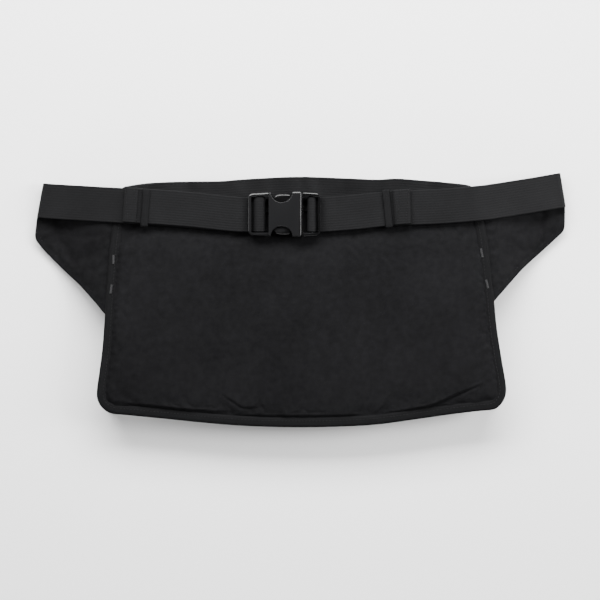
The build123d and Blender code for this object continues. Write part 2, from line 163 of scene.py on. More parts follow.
paper, begin = start_material("floor_paper")
grain = begin.node("TexNoise", {"Scale": 900.0, "Detail": 2.0})
close_material(begin, (0.93, 0.93, 0.93, 1.0), grain * 0.1 + 0.8)
floor_mesh = bpy.data.meshes.new("floor")
corners = ((-1, -1), (1, -1), (1, 1), (-1, 1))
floor_corners = [(x * FLOOR_REACH, y * FLOOR_REACH, 0.0) for x, y in corners]
floor_mesh.from_pydata(floor_corners, [], [(0, 1, 2, 3)])
floor_mesh.materials.append(paper)
floor = bpy.data.objects.new("floor", floor_mesh)
bpy.context.scene.collection.objects.link(floor)

# ---------------------------------------------------------------- front panel
# The face worn outwards: woven nylon over thin foam, lying on the floor, so it is flat where
# it rests and rounds up to the seam. Outlines and sizes are in millimetres from here on.
MM = 0.001
FRONT_INSIDE = 3.0
FRONT_BELLY = 0.05
FRONT_ROUNDING = 1.3
TAPE_REACH = 5.5
SEAM = (
    (-154.6, 90.0), (-152.6, 95.4), (-145.9, 97.5), (-128.7, 99.8), (-100.0, 101.0),
    (-50.0, 101.3), (0.0, 101.4), (60.0, 101.2), (108.0, 100.9), (128.4, 99.9), (145.0, 97.6),
    (150.4, 93.0), (153.0, 82.0), (157.2, 66.0), (159.6, 54.0), (161.4, 40.0), (163.2, 20.0),
    (165.2, 4.0), (166.4, -10.0), (168.3, -27.0), (172.2, -52.0), (175.2, -69.0),
    (175.9, -78.0), (174.2, -84.8), (170.0, -90.4), (164.6, -93.2), (152.0, -94.4),
    (138.0, -96.0), (116.0, -98.9), (92.0, -102.4), (66.0, -105.8), (40.0, -107.4),
    (0.0, -108.2), (-43.0, -107.2), (-78.0, -104.7), (-112.0, -101.3), (-146.0, -98.0),
    (-161.0, -96.5), (-168.0, -93.0), (-172.6, -86.6), (-173.7, -78.0), (-171.6, -62.0),
    (-168.8, -40.0), (-166.7, -12.0), (-165.4, 8.0), (-164.0, 28.0), (-162.0, 50.0),
    (-158.8, 72.0),
)


def smooth_line(points, step, closed=False):
    """Points set evenly along the smooth line through the given ones."""
    given = np.array(points, float)
    fineness = 24
    if closed:
        ends = np.vstack([given[-1], given, given[0], given[1]])
    else:
        ends = np.vstack([2 * given[0] - given[1], given, 2 * given[-1] - given[-2]])
    dense = []
    for a, b, c, d in zip(ends, ends[1:], ends[2:], ends[3:]):
        t = np.linspace(0, 1, fineness, endpoint=False)[:, None]
        dense.append(
            0.5 * (2 * b + (c - a) * t + (2 * a - 5 * b + 4 * c - d) * t**2
                   + (3 * b - a - 3 * c + d) * t**3)
        )
    dense = np.vstack(dense + [ends[1:2] if closed else ends[-2:-1]])
    run = np.concatenate([[0], np.cumsum(np.linalg.norm(np.diff(dense, axis=0), axis=1))])
    count = max(2, int(round(run[-1] / step)))
    places = np.linspace(0, run[-1], count + 1)
    if closed:
        places = places[:-1]
    return np.stack([np.interp(places, run, dense[:, k]) for k in range(given.shape[1])], 1)


def outward(line):
    """Unit normals of a closed line in plan, pointing out of it."""
    ahead = np.roll(line, -1, 0) - np.roll(line, 1, 0)
    area = np.sum(line[:, 0] * np.roll(line[:, 1], -1) - line[:, 1] * np.roll(line[:, 0], -1))
    sign = 1.0 if area > 0 else -1.0
    normal = np.stack([ahead[:, 1], -ahead[:, 0]], 1) * sign
    return normal / np.linalg.norm(normal, axis=1)[:, None]


def piece(name, verts, faces, material, body="pouch", stands_for=()):
    """A mesh given in millimetres, riding on a body and standing for CAD nodes."""
    mesh = bpy.data.meshes.new(name)
    mesh.from_pydata([tuple(v) for v in np.asarray(verts) * MM], [], faces)
    mesh.validate()
    made = bmesh.new()
    made.from_mesh(mesh)
    bmesh.ops.recalc_face_normals(made, faces=made.faces)
    made.to_mesh(mesh)
    made.free()
    mesh.materials.append(material)
    mesh.polygons.foreach_set("use_smooth", [True] * len(mesh.polygons))
    obj = bpy.data.objects.new(name, mesh)
    bpy.context.scene.collection.objects.link(obj)
    return settle(obj, body, stands_for)


def settle(obj, body, stands_for=()):
    """Tells the frame what a piece rides on and stands for."""
    if body:
        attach(obj, body)
    if stands_for:
        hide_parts(*([stands_for] if isinstance(stands_for, str) else stands_for))
    return obj


def edge_distance(points, line):
    """How far each point lies inside a closed line, in plan."""
    best = np.full(len(points), 1e9)
    for a, b in zip(line, np.roll(line, -1, 0)):
        along = b - a
        t = np.clip(((points - a) @ along) / (along @ along), 0, 1)
        best = np.minimum(best, np.linalg.norm(points - a - t[:, None] * along, axis=1))
    return best


def grid(low, high, pitch):
    """Points of a grid of even-sided triangles over a rectangle."""
    margin = pitch * 0.4
    row_height = pitch * 0.87
    xs = np.arange(low[0] + margin, high[0], pitch)
    ys = np.arange(low[1] + margin, high[1], row_height)
    return np.array([(x + (k % 2) * pitch / 2, y) for k, y in enumerate(ys) for x in xs])


def line_distance(points, line):
    """How far each point is from an open line, minus on its right-hand side, and the share along."""
    best = np.full(len(points), 1e9)
    away = np.zeros(len(points))
    share = np.zeros(len(points))
    for k, (a, b) in enumerate(zip(line, line[1:])):
        long = np.linalg.norm(b - a)
        along = (b - a) / long
        t = np.clip((points - a) @ along, 0, long)
        gap = points - a - t[:, None] * along
        far = np.linalg.norm(gap, axis=1)
        near = far < best
        best = np.where(near, far, best)
        away = np.where(near, np.copysign(far, gap @ np.array([-along[1], along[0]])), away)
        share = np.where(near, (k + t / long) / (len(line) - 1), share)
    return away, share


CREASE_BAND = 5.0
FINER = 0.45


def cut_cloth(line, pitch, creases=()):
    """Flat triangles filling a closed line, finer by the creases: points, triangles, edge count."""
    low, high = line.min(0), line.max(0)
    inner = grid(low, high, pitch)
    for crease in creases:
        inner = inner[np.abs(line_distance(inner, crease)[0]) > CREASE_BAND]
    if creases:
        fine = grid(low, high, pitch * FINER)
        close = [np.abs(line_distance(fine, crease)[0]) < CREASE_BAND for crease in creases]
        inner = np.vstack([inner, fine[np.any(close, axis=0)]])
    x, y = inner[:, 0], inner[:, 1]
    inside = np.zeros(len(inner), bool)
    for a, b in zip(line, np.roll(line, -1, 0)):
        crosses = (a[1] > y) != (b[1] > y)
        rise = b[1] - a[1] if b[1] != a[1] else 1e-9
        inside ^= crosses & (x < (b[0] - a[0]) * (y - a[1]) / rise + a[0])
    inner = inner[inside]
    inner = inner[edge_distance(inner, line) > pitch * 0.5]
    every = [Vector(p) for p in np.vstack([line, inner])]
    rim = [(k, (k + 1) % len(line)) for k in range(len(line))]
    flat, _, faces, _, _, _ = delaunay_2d_cdt(every, rim, [], 1, 1e-5)
    return np.array([tuple(v) for v in flat]), [tuple(f) for f in faces], len(line)


def pillow(line, pitch, upper, lower, creases=()):
    """A closed form over one outline: upper and lower give the two heights from x, y, distance."""
    flat, faces, rim = cut_cloth(line, pitch, creases)
    depth = edge_distance(flat, line)
    depth[:rim] = 0.0
    top = np.column_stack([flat, upper(flat[:, 0], flat[:, 1], depth)])
    base = np.column_stack([flat, lower(flat[:, 0], flat[:, 1], depth)])
    count = len(flat)
    verts = np.vstack([top, base])
    under = [tuple(i + count for i in reversed(f)) for f in faces]
    walls = [(k, (k + 1) % rim, (k + 1) % rim + count, k + count) for k in range(rim)]
    return verts, faces + under + walls, count


def ripple(x, y, size, seed):
    """Soft unevenness of cloth at one scale, about -1 to 1."""
    values = [noise.noise(Vector((a / size, b / size, seed))) for a, b in zip(x, y)]
    return np.array(values)


def billow(obj, free, slack, push, cap, frames=20):
    """Cloth simulation of the loose part of a sewn piece, its movement held under a cap."""
    held = obj.vertex_groups.new(name="held")
    loose = np.asarray(free, bool)
    held.add([int(i) for i in np.nonzero(~loose)[0]], 1.0, "REPLACE")
    before = np.array([v.co for v in obj.data.vertices])
    cloth = obj.modifiers.new("cloth", "CLOTH")
    cloth.settings.vertex_group_mass = "held"
    cloth.settings.quality = 6
    cloth.settings.mass = 0.12
    cloth.settings.tension_stiffness = 12.0
    cloth.settings.compression_stiffness = 12.0
    cloth.settings.bending_stiffness = 0.4
    cloth.settings.shrink_min = -slack
    cloth.settings.use_pressure = True
    cloth.settings.uniform_pressure_force = push
    cloth.settings.effector_weights.gravity = 0.0
    cloth.point_cache.frame_start, cloth.point_cache.frame_end = 1, frames
    scene = bpy.context.scene
    for step in range(1, frames + 1):
        scene.frame_set(step)
    shown = obj.evaluated_get(bpy.context.evaluated_depsgraph_get()).to_mesh()
    after = np.array([v.co for v in shown.vertices])
    obj.modifiers.remove(cloth)
    scene.frame_set(1)
    move = after - before
    size = np.linalg.norm(move, axis=1)
    limit = cap * MM
    scale = np.where(size > 1e-9, limit * np.tanh(size / limit) / np.maximum(size, 1e-9), 0.0)
    scale[~loose] = 0.0
    placed = before + move * scale[:, None]
    obj.data.vertices.foreach_set("co", placed.ravel())
    obj.data.update()
    obj.vertex_groups.clear()


def refine(obj, levels=1):
    """Adds a subdivision to the finished shape."""
    step = obj.modifiers.new("refine", "SUBSURF")
    step.levels = step.render_levels = levels
    bpy.context.view_layer.update()
    shown = obj.evaluated_get(bpy.context.evaluated_depsgraph_get())
    finer = bpy.data.meshes.new_from_object(shown)
    obj.modifiers.remove(step)
    obj.data = finer
    finer.polygons.foreach_set("use_smooth", [True] * len(finer.polygons))


def mix_colour(begin, share, first, second):
    """A colour between two, by share, through a Mix node set to colour."""
    made = begin.tree.nodes.new("ShaderNodeMix")
    made.data_type = "RGBA"
    for place, value in ((0, share), (6, first), (7, second)):
        if isinstance(value, Channel):
            begin.tree.links.new(value.socket, made.inputs[place])
        else:
            made.inputs[place].default_value = value
    return Channel(begin.tree, made.outputs[2])


def woven_cloth(name, shade, pitch, sheen=0.0, rough=0.8, depth=0.35):
    """Plain weave: warp and weft threads crossing, uneven in tone, with lint and faint wear."""
    made, begin = start_material(name)
    place = begin.node("TexCoord", out=3)
    thread_scale = math.tau / (pitch * MM)
    across = begin.node("SeparateXYZ", {0: place}, out=0)
    along = begin.node("SeparateXYZ", {0: place}, out=1)
    up = begin.node("SeparateXYZ", {0: place}, out=2)
    warp = (across * thread_scale).math("SINE")
    weft = ((along + up * 0.8) * thread_scale).math("SINE")
    over = (warp * weft) * 0.25 + 0.5
    ribs = warp.math("ABSOLUTE") * 0.5 + weft.math("ABSOLUTE") * 0.5
    slub = begin.node("TexNoise", {"Vector": place, "Scale": 210.0, "Detail": 5.0})
    patch = begin.node("TexNoise", {"Vector": place, "Scale": 17.0, "Detail": 3.0})
    lint = begin.node("TexNoise", {"Vector": place, "Scale": 1300.0, "Detail": 1.0})
    specks = begin.node("ValToRGB", {0: lint}, stops=((0.70, 0.0), (0.78, 1.0)))
    tone = patch * 0.75 + slub * 0.75 + over * 0.15 - 0.3
    dark = tuple(c * 0.3 for c in shade) + (1.0,)
    light = tuple(c * 1.35 for c in shade) + (1.0,)
    dust = tuple(c * 2.2 + 0.003 for c in shade) + (1.0,)
    colour = mix_colour(begin, specks * 0.45, mix_colour(begin, tone, dark, light), dust)
    height = over * 0.8 + ribs * 0.5 + slub * 0.5
    close_material(
        begin, colour, patch * 0.14 + rough - 0.07, height, depth, 0.0006,
        sheen_weight=sheen, sheen_roughness=0.5, specular_ior_level=0.03,
    )
    return made


NYLON = (0.0062, 0.0062, 0.0067)
NYLON_PITCH = 0.62
panel_cloth = woven_cloth("panel_nylon", NYLON, NYLON_PITCH)
seam_line = smooth_line(SEAM, 2.6, closed=True)


def level(height):
    """A surface that lies flat at one height."""
    return lambda x, y, depth: np.full(len(x), height)


def front_lower(x, y, depth):
    """Flat where it rests, and rounded up towards the tape that binds its edge."""
    return FRONT_BELLY + FRONT_ROUNDING * np.exp(-((depth - TAPE_REACH) / 4.0).clip(0) ** 1.5)


verts, faces, _ = pillow(seam_line, pitch=5.0, upper=level(FRONT_INSIDE), lower=front_lower)
front_panel = piece("front_panel_cloth", verts, faces, panel_cloth,
                    stands_for="front_panel")
refine(front_panel)

# ---------------------------------------------------------------- linings and back foam
# Thin plain lining on the inside of each big panel, and the sheet of closed-cell foam that
# stiffens the back. They are cut to the seam allowance and caught in the side seams.
LINING_INSET, LINING_THICK = 8.5, 0.5
FRONT_LINING_LOW, BACK_LINING_LOW = 3.3, 25.0
FOAM_INSET, FOAM_LOW, FOAM_THICK = 9.0, 25.8, 2.1
lining_cloth = woven_cloth("lining_taffeta", (0.012, 0.012, 0.013), 0.34, sheen=0.02, rough=0.55)
foam_sheet, begin = start_material("foam_closed_cell")
cells = begin.node("TexVoronoi", {"Scale": 900.0}, feature="F1")
blotch = begin.node("TexNoise", {"Scale": 40.0, "Detail": 3.0})
close_material(
    begin, mix_colour(begin, blotch, (0.035, 0.035, 0.037, 1.0), (0.06, 0.06, 0.063, 1.0)),
    cells * 0.2 + 0.75, cells, 0.5, 0.0005,
)


def inset_line(line, inset, step):
    """The closed line moved inwards and evened out again."""
    moved = line - outward(line) * inset
    return smooth_line(moved[:: max(1, len(moved) // 60)], step, closed=True)


def inner_sheet(name, node, inset, low, thick, material):
    """A thin sheet cut to the seam line less an inset, lying a little unevenly."""
    line = inset_line(seam_line, inset, 5.0)

    def lift(x, y, depth):
        return low + 0.15 * ripple(x, y, 45.0, low)

    verts, faces, _ = pillow(line, pitch=9.0, upper=lambda *at: lift(*at) + thick, lower=lift)
    return piece(name, verts, faces, material, stands_for=node)


front_lining = inner_sheet("front_lining_cloth", "front_lining", LINING_INSET, FRONT_LINING_LOW,
                           LINING_THICK, lining_cloth)
back_lining = inner_sheet("back_lining_cloth", "back_lining", LINING_INSET, BACK_LINING_LOW,
                          LINING_THICK, lining_cloth)
back_foam = inner_sheet("back_foam_sheet", "back_foam", FOAM_INSET, FOAM_LOW, FOAM_THICK,
                        foam_sheet)

# ---------------------------------------------------------------- side gusset
# One strip of the panel nylon that runs down one side, across the bottom and up the other.
# It bows out a little between its two seams and gathers into small upright creases.
WALL_LOW, WALL_HIGH = 3.9, 27.3
WALL_INSET = 6.4
WALL_THICK = 1.2
WALL_BOW = 1.5
ZIP_WALL_Y = 88.0
ACROSS = 13
ZIP_END = round(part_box("zip_strip_back")[1].x / MM, 2)
wall_cloth = woven_cloth("gusset_nylon", NYLON, NYLON_PITCH)


def in_order(kept, count):
    """The kept places of a closed line of so many points, from the end of the gap in them."""
    starts = [k for k in range(len(kept)) if (kept[k] - kept[k - 1]) % count != 1]
    return kept[starts[0]:] + kept[:starts[0]] if starts else kept


wall_line = inset_line(seam_line, WALL_INSET, 3.0)
off_zip = [k for k, p in enumerate(wall_line) if not (p[1] > ZIP_WALL_Y and abs(p[0]) < ZIP_END)]
wall_places = in_order(off_zip, len(wall_line))
wall_run = wall_line[wall_places]
wall_out = outward(wall_line)[wall_places]
wall_verts, wall_faces = [], []
for thickness in (WALL_THICK, 0.0):
    for k, (spot, out) in enumerate(zip(wall_run, wall_out)):
        for r in range(ACROSS):
            t = r / (ACROSS - 1)
            bow = math.sin(math.pi * t)
            crease = noise.noise(Vector((k * 0.23, t * 1.4, 3.0)))
            fine = noise.noise(Vector((k * 0.71, t * 2.2, 8.0)))
            push = thickness + bow * (WALL_BOW + 0.9 * crease + 0.35 * fine)
            spread = spot + out * push
            wall_verts.append((spread[0], spread[1], WALL_LOW + t * (WALL_HIGH - WALL_LOW)))
length = len(wall_run)
shell = length * ACROSS
for k in range(length - 1):
    for r in range(ACROSS - 1):
        a = k * ACROSS + r
        b = a + ACROSS
        wall_faces.append((a, b, b + 1, a + 1))
        wall_faces.append((a + shell, a + shell + 1, b + shell + 1, b + shell))
    for r in (0, ACROSS - 1):
        a = k * ACROSS + r
        b = a + ACROSS
        wall_faces.append((a, b, b + shell, a + shell))
for k in (0, length - 1):
    for r in range(ACROSS - 1):
        a = k * ACROSS + r
        wall_faces.append((a, a + 1, a + 1 + shell, a + shell))
side_gusset = piece("side_gusset_cloth", wall_verts, wall_faces, wall_cloth,
                    stands_for="side_gusset")
row_of = np.arange(2 * shell) % ACROSS
billow(side_gusset, (row_of > 0) & (row_of < ACROSS - 1), slack=0.025, push=1.5, cap=1.2)
refine(side_gusset)

# ---------------------------------------------------------------- zip
# A coil zip let into the top wall: a cloth strip each side, a woven tape under each strip with
# one row of coil along its edge, a scrap of cloth over each end, and a painted slider and tab.
STRIP_Y = (94.6, 96.0)
STRIP_GAP = 5.2
TAPE_Y = (93.7, 94.4)
TAPE_GAP, TAPE_WIDE = 0.9, 9.0
TAB_X = 127.0
TAB_WIDE, TAB_TALL = 10.0, 14.0
TOOTH_PITCH = 1.5


def box_middle(node):
    """The middle of a CAD node, in millimetres."""
    low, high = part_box(node)
    return [round(float(a + b) / 2 / MM, 2) for a, b in zip(low, high)]


SLIDER_X, _, ZIP_Z = box_middle("zipper_slider")


def tube_faces(base, spans, ring):
    """The faces of a closed tube whose rings of points follow each other from base."""
    made = []
    for s in range(spans - 1):
        for j in range(ring):
            a = base + s * ring + j
            b = base + s * ring + (j + 1) % ring
            made.append((a, b, b + ring, a + ring))
    last = base + (spans - 1) * ring
    return made + [tuple(range(base, base + ring)), tuple(range(last, last + ring))]


def bar_mesh(name, x_span, y_span, z_span, material, node, round_off=0.25, wave=0.0,
             steps=90, seed=1.0):
    """A long thin strip along X with rounded edges, a little uneven when it is cloth."""
    y0, y1 = y_span
    z0, z1 = z_span
    r = round_off
    section = []
    for cy, cz, begin_at in ((y1 - r, z1 - r, 0), (y0 + r, z1 - r, 90),
                             (y0 + r, z0 + r, 180), (y1 - r, z0 + r, 270)):
        for turn in (0, 30, 60, 90):
            a = math.radians(begin_at + turn)
            section.append((cy + r * math.cos(a), cz + r * math.sin(a)))
    verts = []
    for k in range(steps + 1):
        x = x_span[0] + (x_span[1] - x_span[0]) * k / steps
        for y, z in section:
            lift = wave * noise.noise(Vector((x / 16.0, z / 9.0, seed)))
            verts.append((x, y + lift, z))
    faces = tube_faces(0, steps + 1, len(section))
    return piece(name, verts, faces, material, "pouch", node)


for side, z_span, seed in (("front", (WALL_LOW, ZIP_Z - STRIP_GAP), 2.0),
                           ("back", (ZIP_Z + STRIP_GAP, WALL_HIGH), 5.0)):
    zip_strip = bar_mesh("zip_strip_" + side + "_cloth", (-ZIP_END, ZIP_END), STRIP_Y, z_span,
                         wall_cloth, "zip_strip_" + side, 0.6, 0.45, seed=seed)

tape_weave, begin = start_material("zip_tape_weave")
place = begin.node("TexCoord", out=3)
zip_along = begin.node("SeparateXYZ", {0: place}, out=0)
zip_up = begin.node("SeparateXYZ", {0: place}, out=2)
twill = ((zip_along + zip_up) * (math.tau / 0.0009)).math("SINE")
fuzz = begin.node("TexNoise", {"Vector": place, "Scale": 600.0, "Detail": 3.0})
close_material(
    begin, mix_colour(begin, twill * 0.25 + fuzz * 0.5, (0.004, 0.004, 0.0043, 1.0),
                      (0.013, 0.013, 0.014, 1.0)),
    fuzz * 0.15 + 0.68, twill * 0.5 + fuzz, 0.4, 0.0004, specular_ior_level=0.1,
)
for side, z_span in (("front", (ZIP_Z - TAPE_WIDE, ZIP_Z - TAPE_GAP)),
                     ("back", (ZIP_Z + TAPE_GAP, ZIP_Z + TAPE_WIDE))):
    bar_mesh("zipper_tape_" + side + "_weave", (-ZIP_END, ZIP_END), TAPE_Y, z_span,
             tape_weave, "zipper_tape_" + side)

coil_plastic, begin = start_material("zip_coil_nylon")
scuff = begin.node("TexNoise", {"Scale": 500.0, "Detail": 3.0})
close_material(
    begin, mix_colour(begin, scuff, (0.004, 0.004, 0.0043, 1.0), (0.013, 0.013, 0.014, 1.0)),
    scuff * 0.2 + 0.3, scuff, 0.1, 0.0002, specular_ior_level=0.3,
)


def coil_row(name, direction, node):
    """One row of the coil: a tooth every pitch, hooked over the middle line of the zip."""
    verts, faces = [], []
    first, run = -117.2, 229.0
    back, overlap = 2.7, 0.05
    under_y, arch = 94.75, 0.75
    wire_wide, wire_thick, head = 0.34, 0.3, 0.16
    ring, spans = 6, 5
    for k in range(int(run / TOOTH_PITCH)):
        x = first + TOOTH_PITCH * (k + (0.5 if direction > 0 else 0.0))
        faces += tube_faces(len(verts), spans, ring)
        for s in range(spans):
            t = s / (spans - 1)
            z = ZIP_Z + direction * (back - (back + overlap) * t)
            y = under_y + arch * math.sin(math.pi * min(1.0, t * 1.15))
            fat = wire_wide + (head if s == spans - 1 else 0.0)
            for j in range(ring):
                a = math.tau * j / ring
                verts.append((x + fat * math.cos(a), y + wire_thick * math.sin(a), z))
    return piece(name, verts, faces, coil_plastic, "pouch", node)


coil_row("zipper_coil_front_teeth", -1.0, "zipper_coil_front")
coil_row("zipper_coil_back_teeth", 1.0, "zipper_coil_back")
for side, x in (("left", -TAB_X), ("right", TAB_X)):
    bar_mesh("zip_tab_" + side + "_cloth", (x - TAB_WIDE / 2, x + TAB_WIDE / 2), (96.05, 97.0),
             (ZIP_Z - TAB_TALL / 2, ZIP_Z + TAB_TALL / 2), wall_cloth, "zip_end_tab_" + side,
             0.35, 0.2, steps=12)

painted_metal, begin = start_material("zip_painted_metal")
chips = begin.node("TexNoise", {"Scale": 260.0, "Detail": 6.0})
worn = begin.node("ValToRGB", {0: chips}, stops=((0.66, 0.0), (0.74, 1.0)))
edges = begin.node("NewGeometry", out=7)
# Lighter colour at sharp edges, where the paint is rubbed through to the metal.
edge_wear_and_highlight = begin.node("ValToRGB", {0: edges}, stops=((0.53, 0.0), (0.60, 1.0)))
bare = (worn * 0.35 + edge_wear_and_highlight * 0.5).math("MINIMUM", 1.0)
close_material(
    begin, mix_colour(begin, bare, (0.007, 0.007, 0.0075, 1.0), (0.09, 0.09, 0.095, 1.0)),
    chips * 0.2 + 0.3, chips, 0.08, 0.0002, metallic=0.0, specular_ior_level=0.4,
)


def soften(obj, width, segments=3, angle=0.5):
    """Rounds the edges of a moulded or cast piece and shades it smooth."""
    step = obj.modifiers.new("edge", "BEVEL")
    step.width = width * MM
    step.segments = segments
    step.limit_method = "ANGLE"
    step.angle_limit = angle
    step.miter_outer = "MITER_ARC"
    bpy.context.view_layer.update()
    shown = obj.evaluated_get(bpy.context.evaluated_depsgraph_get())
    rounded = bpy.data.meshes.new_from_object(shown)
    obj.modifiers.remove(step)
    obj.data = rounded
    rounded.polygons.foreach_set("use_smooth", [True] * len(rounded.polygons))
    rounded.set_sharp_from_angle(angle=0.9)


def block(name, low, high, material, body="pouch"):
    """A plain block to be cut, joined and rounded into a real piece."""
    (a, b, c), (d, e, f) = low, high
    verts = [(x, y, z) for z in (c, f) for x, y in ((a, b), (d, b), (d, e), (a, e))]
    return piece(name, verts, tube_faces(0, 2, 4), material, body)


def prism(name, plan, low, high, material, body="pouch"):
    """A plate of one outline in plan."""
    verts = [(x, y, z) for z in (low, high) for x, y in plan]
    return piece(name, verts, tube_faces(0, 2, len(plan)), material, body)


def combine(obj, others, operation):
    """Joins pieces to one, or cuts them out of it, and throws the tools away."""
    for other in others:
        step = obj.modifiers.new("work", "BOOLEAN")
        step.operation = operation
        step.solver = "EXACT"
        step.object = other
        bpy.context.view_layer.update()
        shown = obj.evaluated_get(bpy.context.evaluated_depsgraph_get())
        worked = bpy.data.meshes.new_from_object(shown)
        obj.modifiers.remove(step)
        obj.data = worked
        bpy.data.objects.remove(other)


def slider_block(x_span, y_span, z_span):
    """A block whose x and z count from the middle of the slider."""
    (a, d), (b, e), (c, f) = x_span, y_span, z_span
    return block("part", (SLIDER_X + a, b, ZIP_Z + c), (SLIDER_X + d, e, ZIP_Z + f), painted_metal)


def slider_plate(name, plan, half_tall, body="zipper_slider"):
    """A plate whose x counts from the middle of the slider, as tall below the zip as above."""
    placed = [(SLIDER_X + x, y) for x, y in plan]
    return prism(name, placed, ZIP_Z - half_tall, ZIP_Z + half_tall, painted_metal, body)


SHIELD = ((-5.7, 96.15), (5.7, 96.15), (5.7, 97.0), (4.6, 97.5), (-4.6, 97.5), (-5.7, 97.0))
BRIDGE = ((-3.7, 97.3), (-3.7, 98.6), (-2.9, 99.7), (2.9, 99.7), (3.7, 98.6), (3.7, 97.3),
          (2.9, 97.3), (2.9, 98.4), (2.4, 99.05), (-2.4, 99.05), (-2.9, 98.4), (-2.9, 97.3))
slider = slider_plate("zipper_slider_body", SHIELD, 4.5)
combine(slider, [slider_block((-6.0, -2.6), (95.5, 98.0), z_span)
                 for z_span in ((-4.6, -3.4), (3.4, 4.6))], "DIFFERENCE")
combine(slider, [
    slider_block((-5.6, 5.6), (94.75, 96.3), (-4.5, -3.6)),
    slider_block((-5.6, 5.6), (94.75, 96.3), (3.6, 4.5)),
    slider_block((2.8, 5.6), (92.6, 96.3), (-0.6, 0.6)),
    slider_block((-5.6, 5.6), (92.0, 93.3), (-4.3, 4.3)),
], "UNION")
combine(slider, [slider_plate("part", BRIDGE, 1.0)], "UNION")
soften(slider, 0.22)
settle(slider, "zipper_slider", "zipper_slider")

PULL_Y = 98.3
PULL_EDGE = ((0.5, 0.35), (-0.2, 0.5), (-26.0, 0.5), (-27.0, 0.2))
pull_plan = [(x, PULL_Y - y) for x, y in PULL_EDGE]
pull_plan += [(x, PULL_Y + y) for x, y in reversed(PULL_EDGE)]
puller = slider_plate("zipper_puller_tab", pull_plan, 3.5, "zipper_puller")
combine(puller, [
    slider_block((-28.0, 2.0), (97.0, 100.0), (-5.0, -3.45)),
    slider_block((-28.0, 2.0), (97.0, 100.0), (3.45, 5.0)),
    slider_block((-6.6, -0.6), (97.0, 99.6), (-2.1, 2.1)),
    slider_block((-23.5, -14.5), (97.0, 99.6), (-1.5, 1.5)),
    slider_block((-28.0, -7.6), (97.0, 97.95), (2.3, 3.6)),
    slider_block((-28.0, -7.6), (97.0, 97.95), (-3.6, -2.3)),
], "DIFFERENCE")
soften(puller, 0.16)
settle(puller, "zipper_puller", "zipper_puller")

# ---------------------------------------------------------------- back panel
# The face that lies against the wearer: the same nylon over foam, softly crowned, drawn down
# along its seam and creased near the bottom edge where the pouch has been folded.
BACK_INSIDE, BACK_EDGE = 28.1, 30.55
BELT_SHADE_Y = 56.0
FOLD_X = 59.0
CREASES = (
    # height of the roll, how far it reaches back from its line, the line from left to right
    (2.0, 7.0, ((-142.0, -88.6), (-120.0, -91.2), (-103.6, -93.4), (-79.0, -95.0),
                (-58.0, -95.6))),
    (2.3, 7.0, ((-52.0, -97.6), (-35.3, -99.2), (-9.3, -99.4), (12.0, -99.6), (56.0, -98.2))),
    (1.3, 5.0, ((-66.0, -81.0), (-56.0, -87.4), (-48.0, -91.6), (-34.0, -91.0))),
    (2.4, 10.0, ((80.0, -95.6), (90.3, -94.6), (107.9, -91.2), (120.5, -86.8), (135.6, -79.6),
                 (150.0, -73.6))),
    (0.9, 4.0, ((62.0, -98.0), (70.0, -91.0), (75.0, -84.0))),
)
crease_lines = [smooth_line(corners, 2.0) for _, _, corners in CREASES]


def rolls(x, y):
    """Rolls of cloth: each rises slowly towards its line and drops sharply past it."""
    total = np.zeros(len(x))
    spots = np.column_stack([x, y])
    for (tall, reach, _), line in zip(CREASES, crease_lines):
        away, share = line_distance(spots, line)
        dying = np.sin(np.pi * np.clip(share, 0.03, 0.97)) ** 0.6
        steep = 1 / (1 + np.exp(-np.clip(away, -30, 30) / 0.35))
        valley = 0.35 * np.exp(-(((away + 1.3) / 1.0) ** 2))
        total += tall * dying * (np.exp(-np.clip(away, 0, None) / reach) * steep - valley)
    return total


def back_upper(x, y, depth):
    """The worn face: level under its tape, crowned within it, flatter where the belt lies."""
    free = np.clip((depth - 7.2) / 1.5, 0, 1)
    free = free * free * (3 - 2 * free)
    open_cloth = 1.0 / (1.0 + np.exp((y - BELT_SHADE_Y) / 4.0))
    crown = (0.55 + 1.2 * open_cloth) * (1 - np.exp(-np.clip(depth - 6.5, 0, None) / 11.0))
    dome = 3.0 * open_cloth * np.clip(1 - ((y + 22.0) / 84.0) ** 2, 0, 1)
    gather = ripple(x, y, 7.5, 4.0) * 0.5 * np.exp(-np.clip(depth - 7.0, 0, None) / 6.0)
    broad = 0.8 * ripple(x, y, 58.0, 1.0) + 0.35 * ripple(x, y, 23.0, 2.0)
    flank = np.where(x < FOLD_X, 9.0, 22.0)
    fold = -1.9 * np.exp(-np.abs(x - FOLD_X) / flank) / (1 + np.exp((y + 2.0) / 9.0))
    loose = open_cloth * (broad + fold + dome + rolls(x, y)) + gather
    return BACK_EDGE + free * (0.15 + crown + loose)


verts, faces, half = pillow(seam_line, pitch=3.0, upper=back_upper, lower=level(BACK_INSIDE),
                            creases=crease_lines)
back_panel = piece("back_panel_cloth", verts, faces, panel_cloth,
                   stands_for="back_panel")
inside = edge_distance(verts[:, :2], seam_line) > 8.5
inside[half:] = False
below_belt = verts[:, 1] < 66.0
billow(back_panel, inside & below_belt, slack=0.012, push=2.0, cap=0.55)
refine(back_panel)

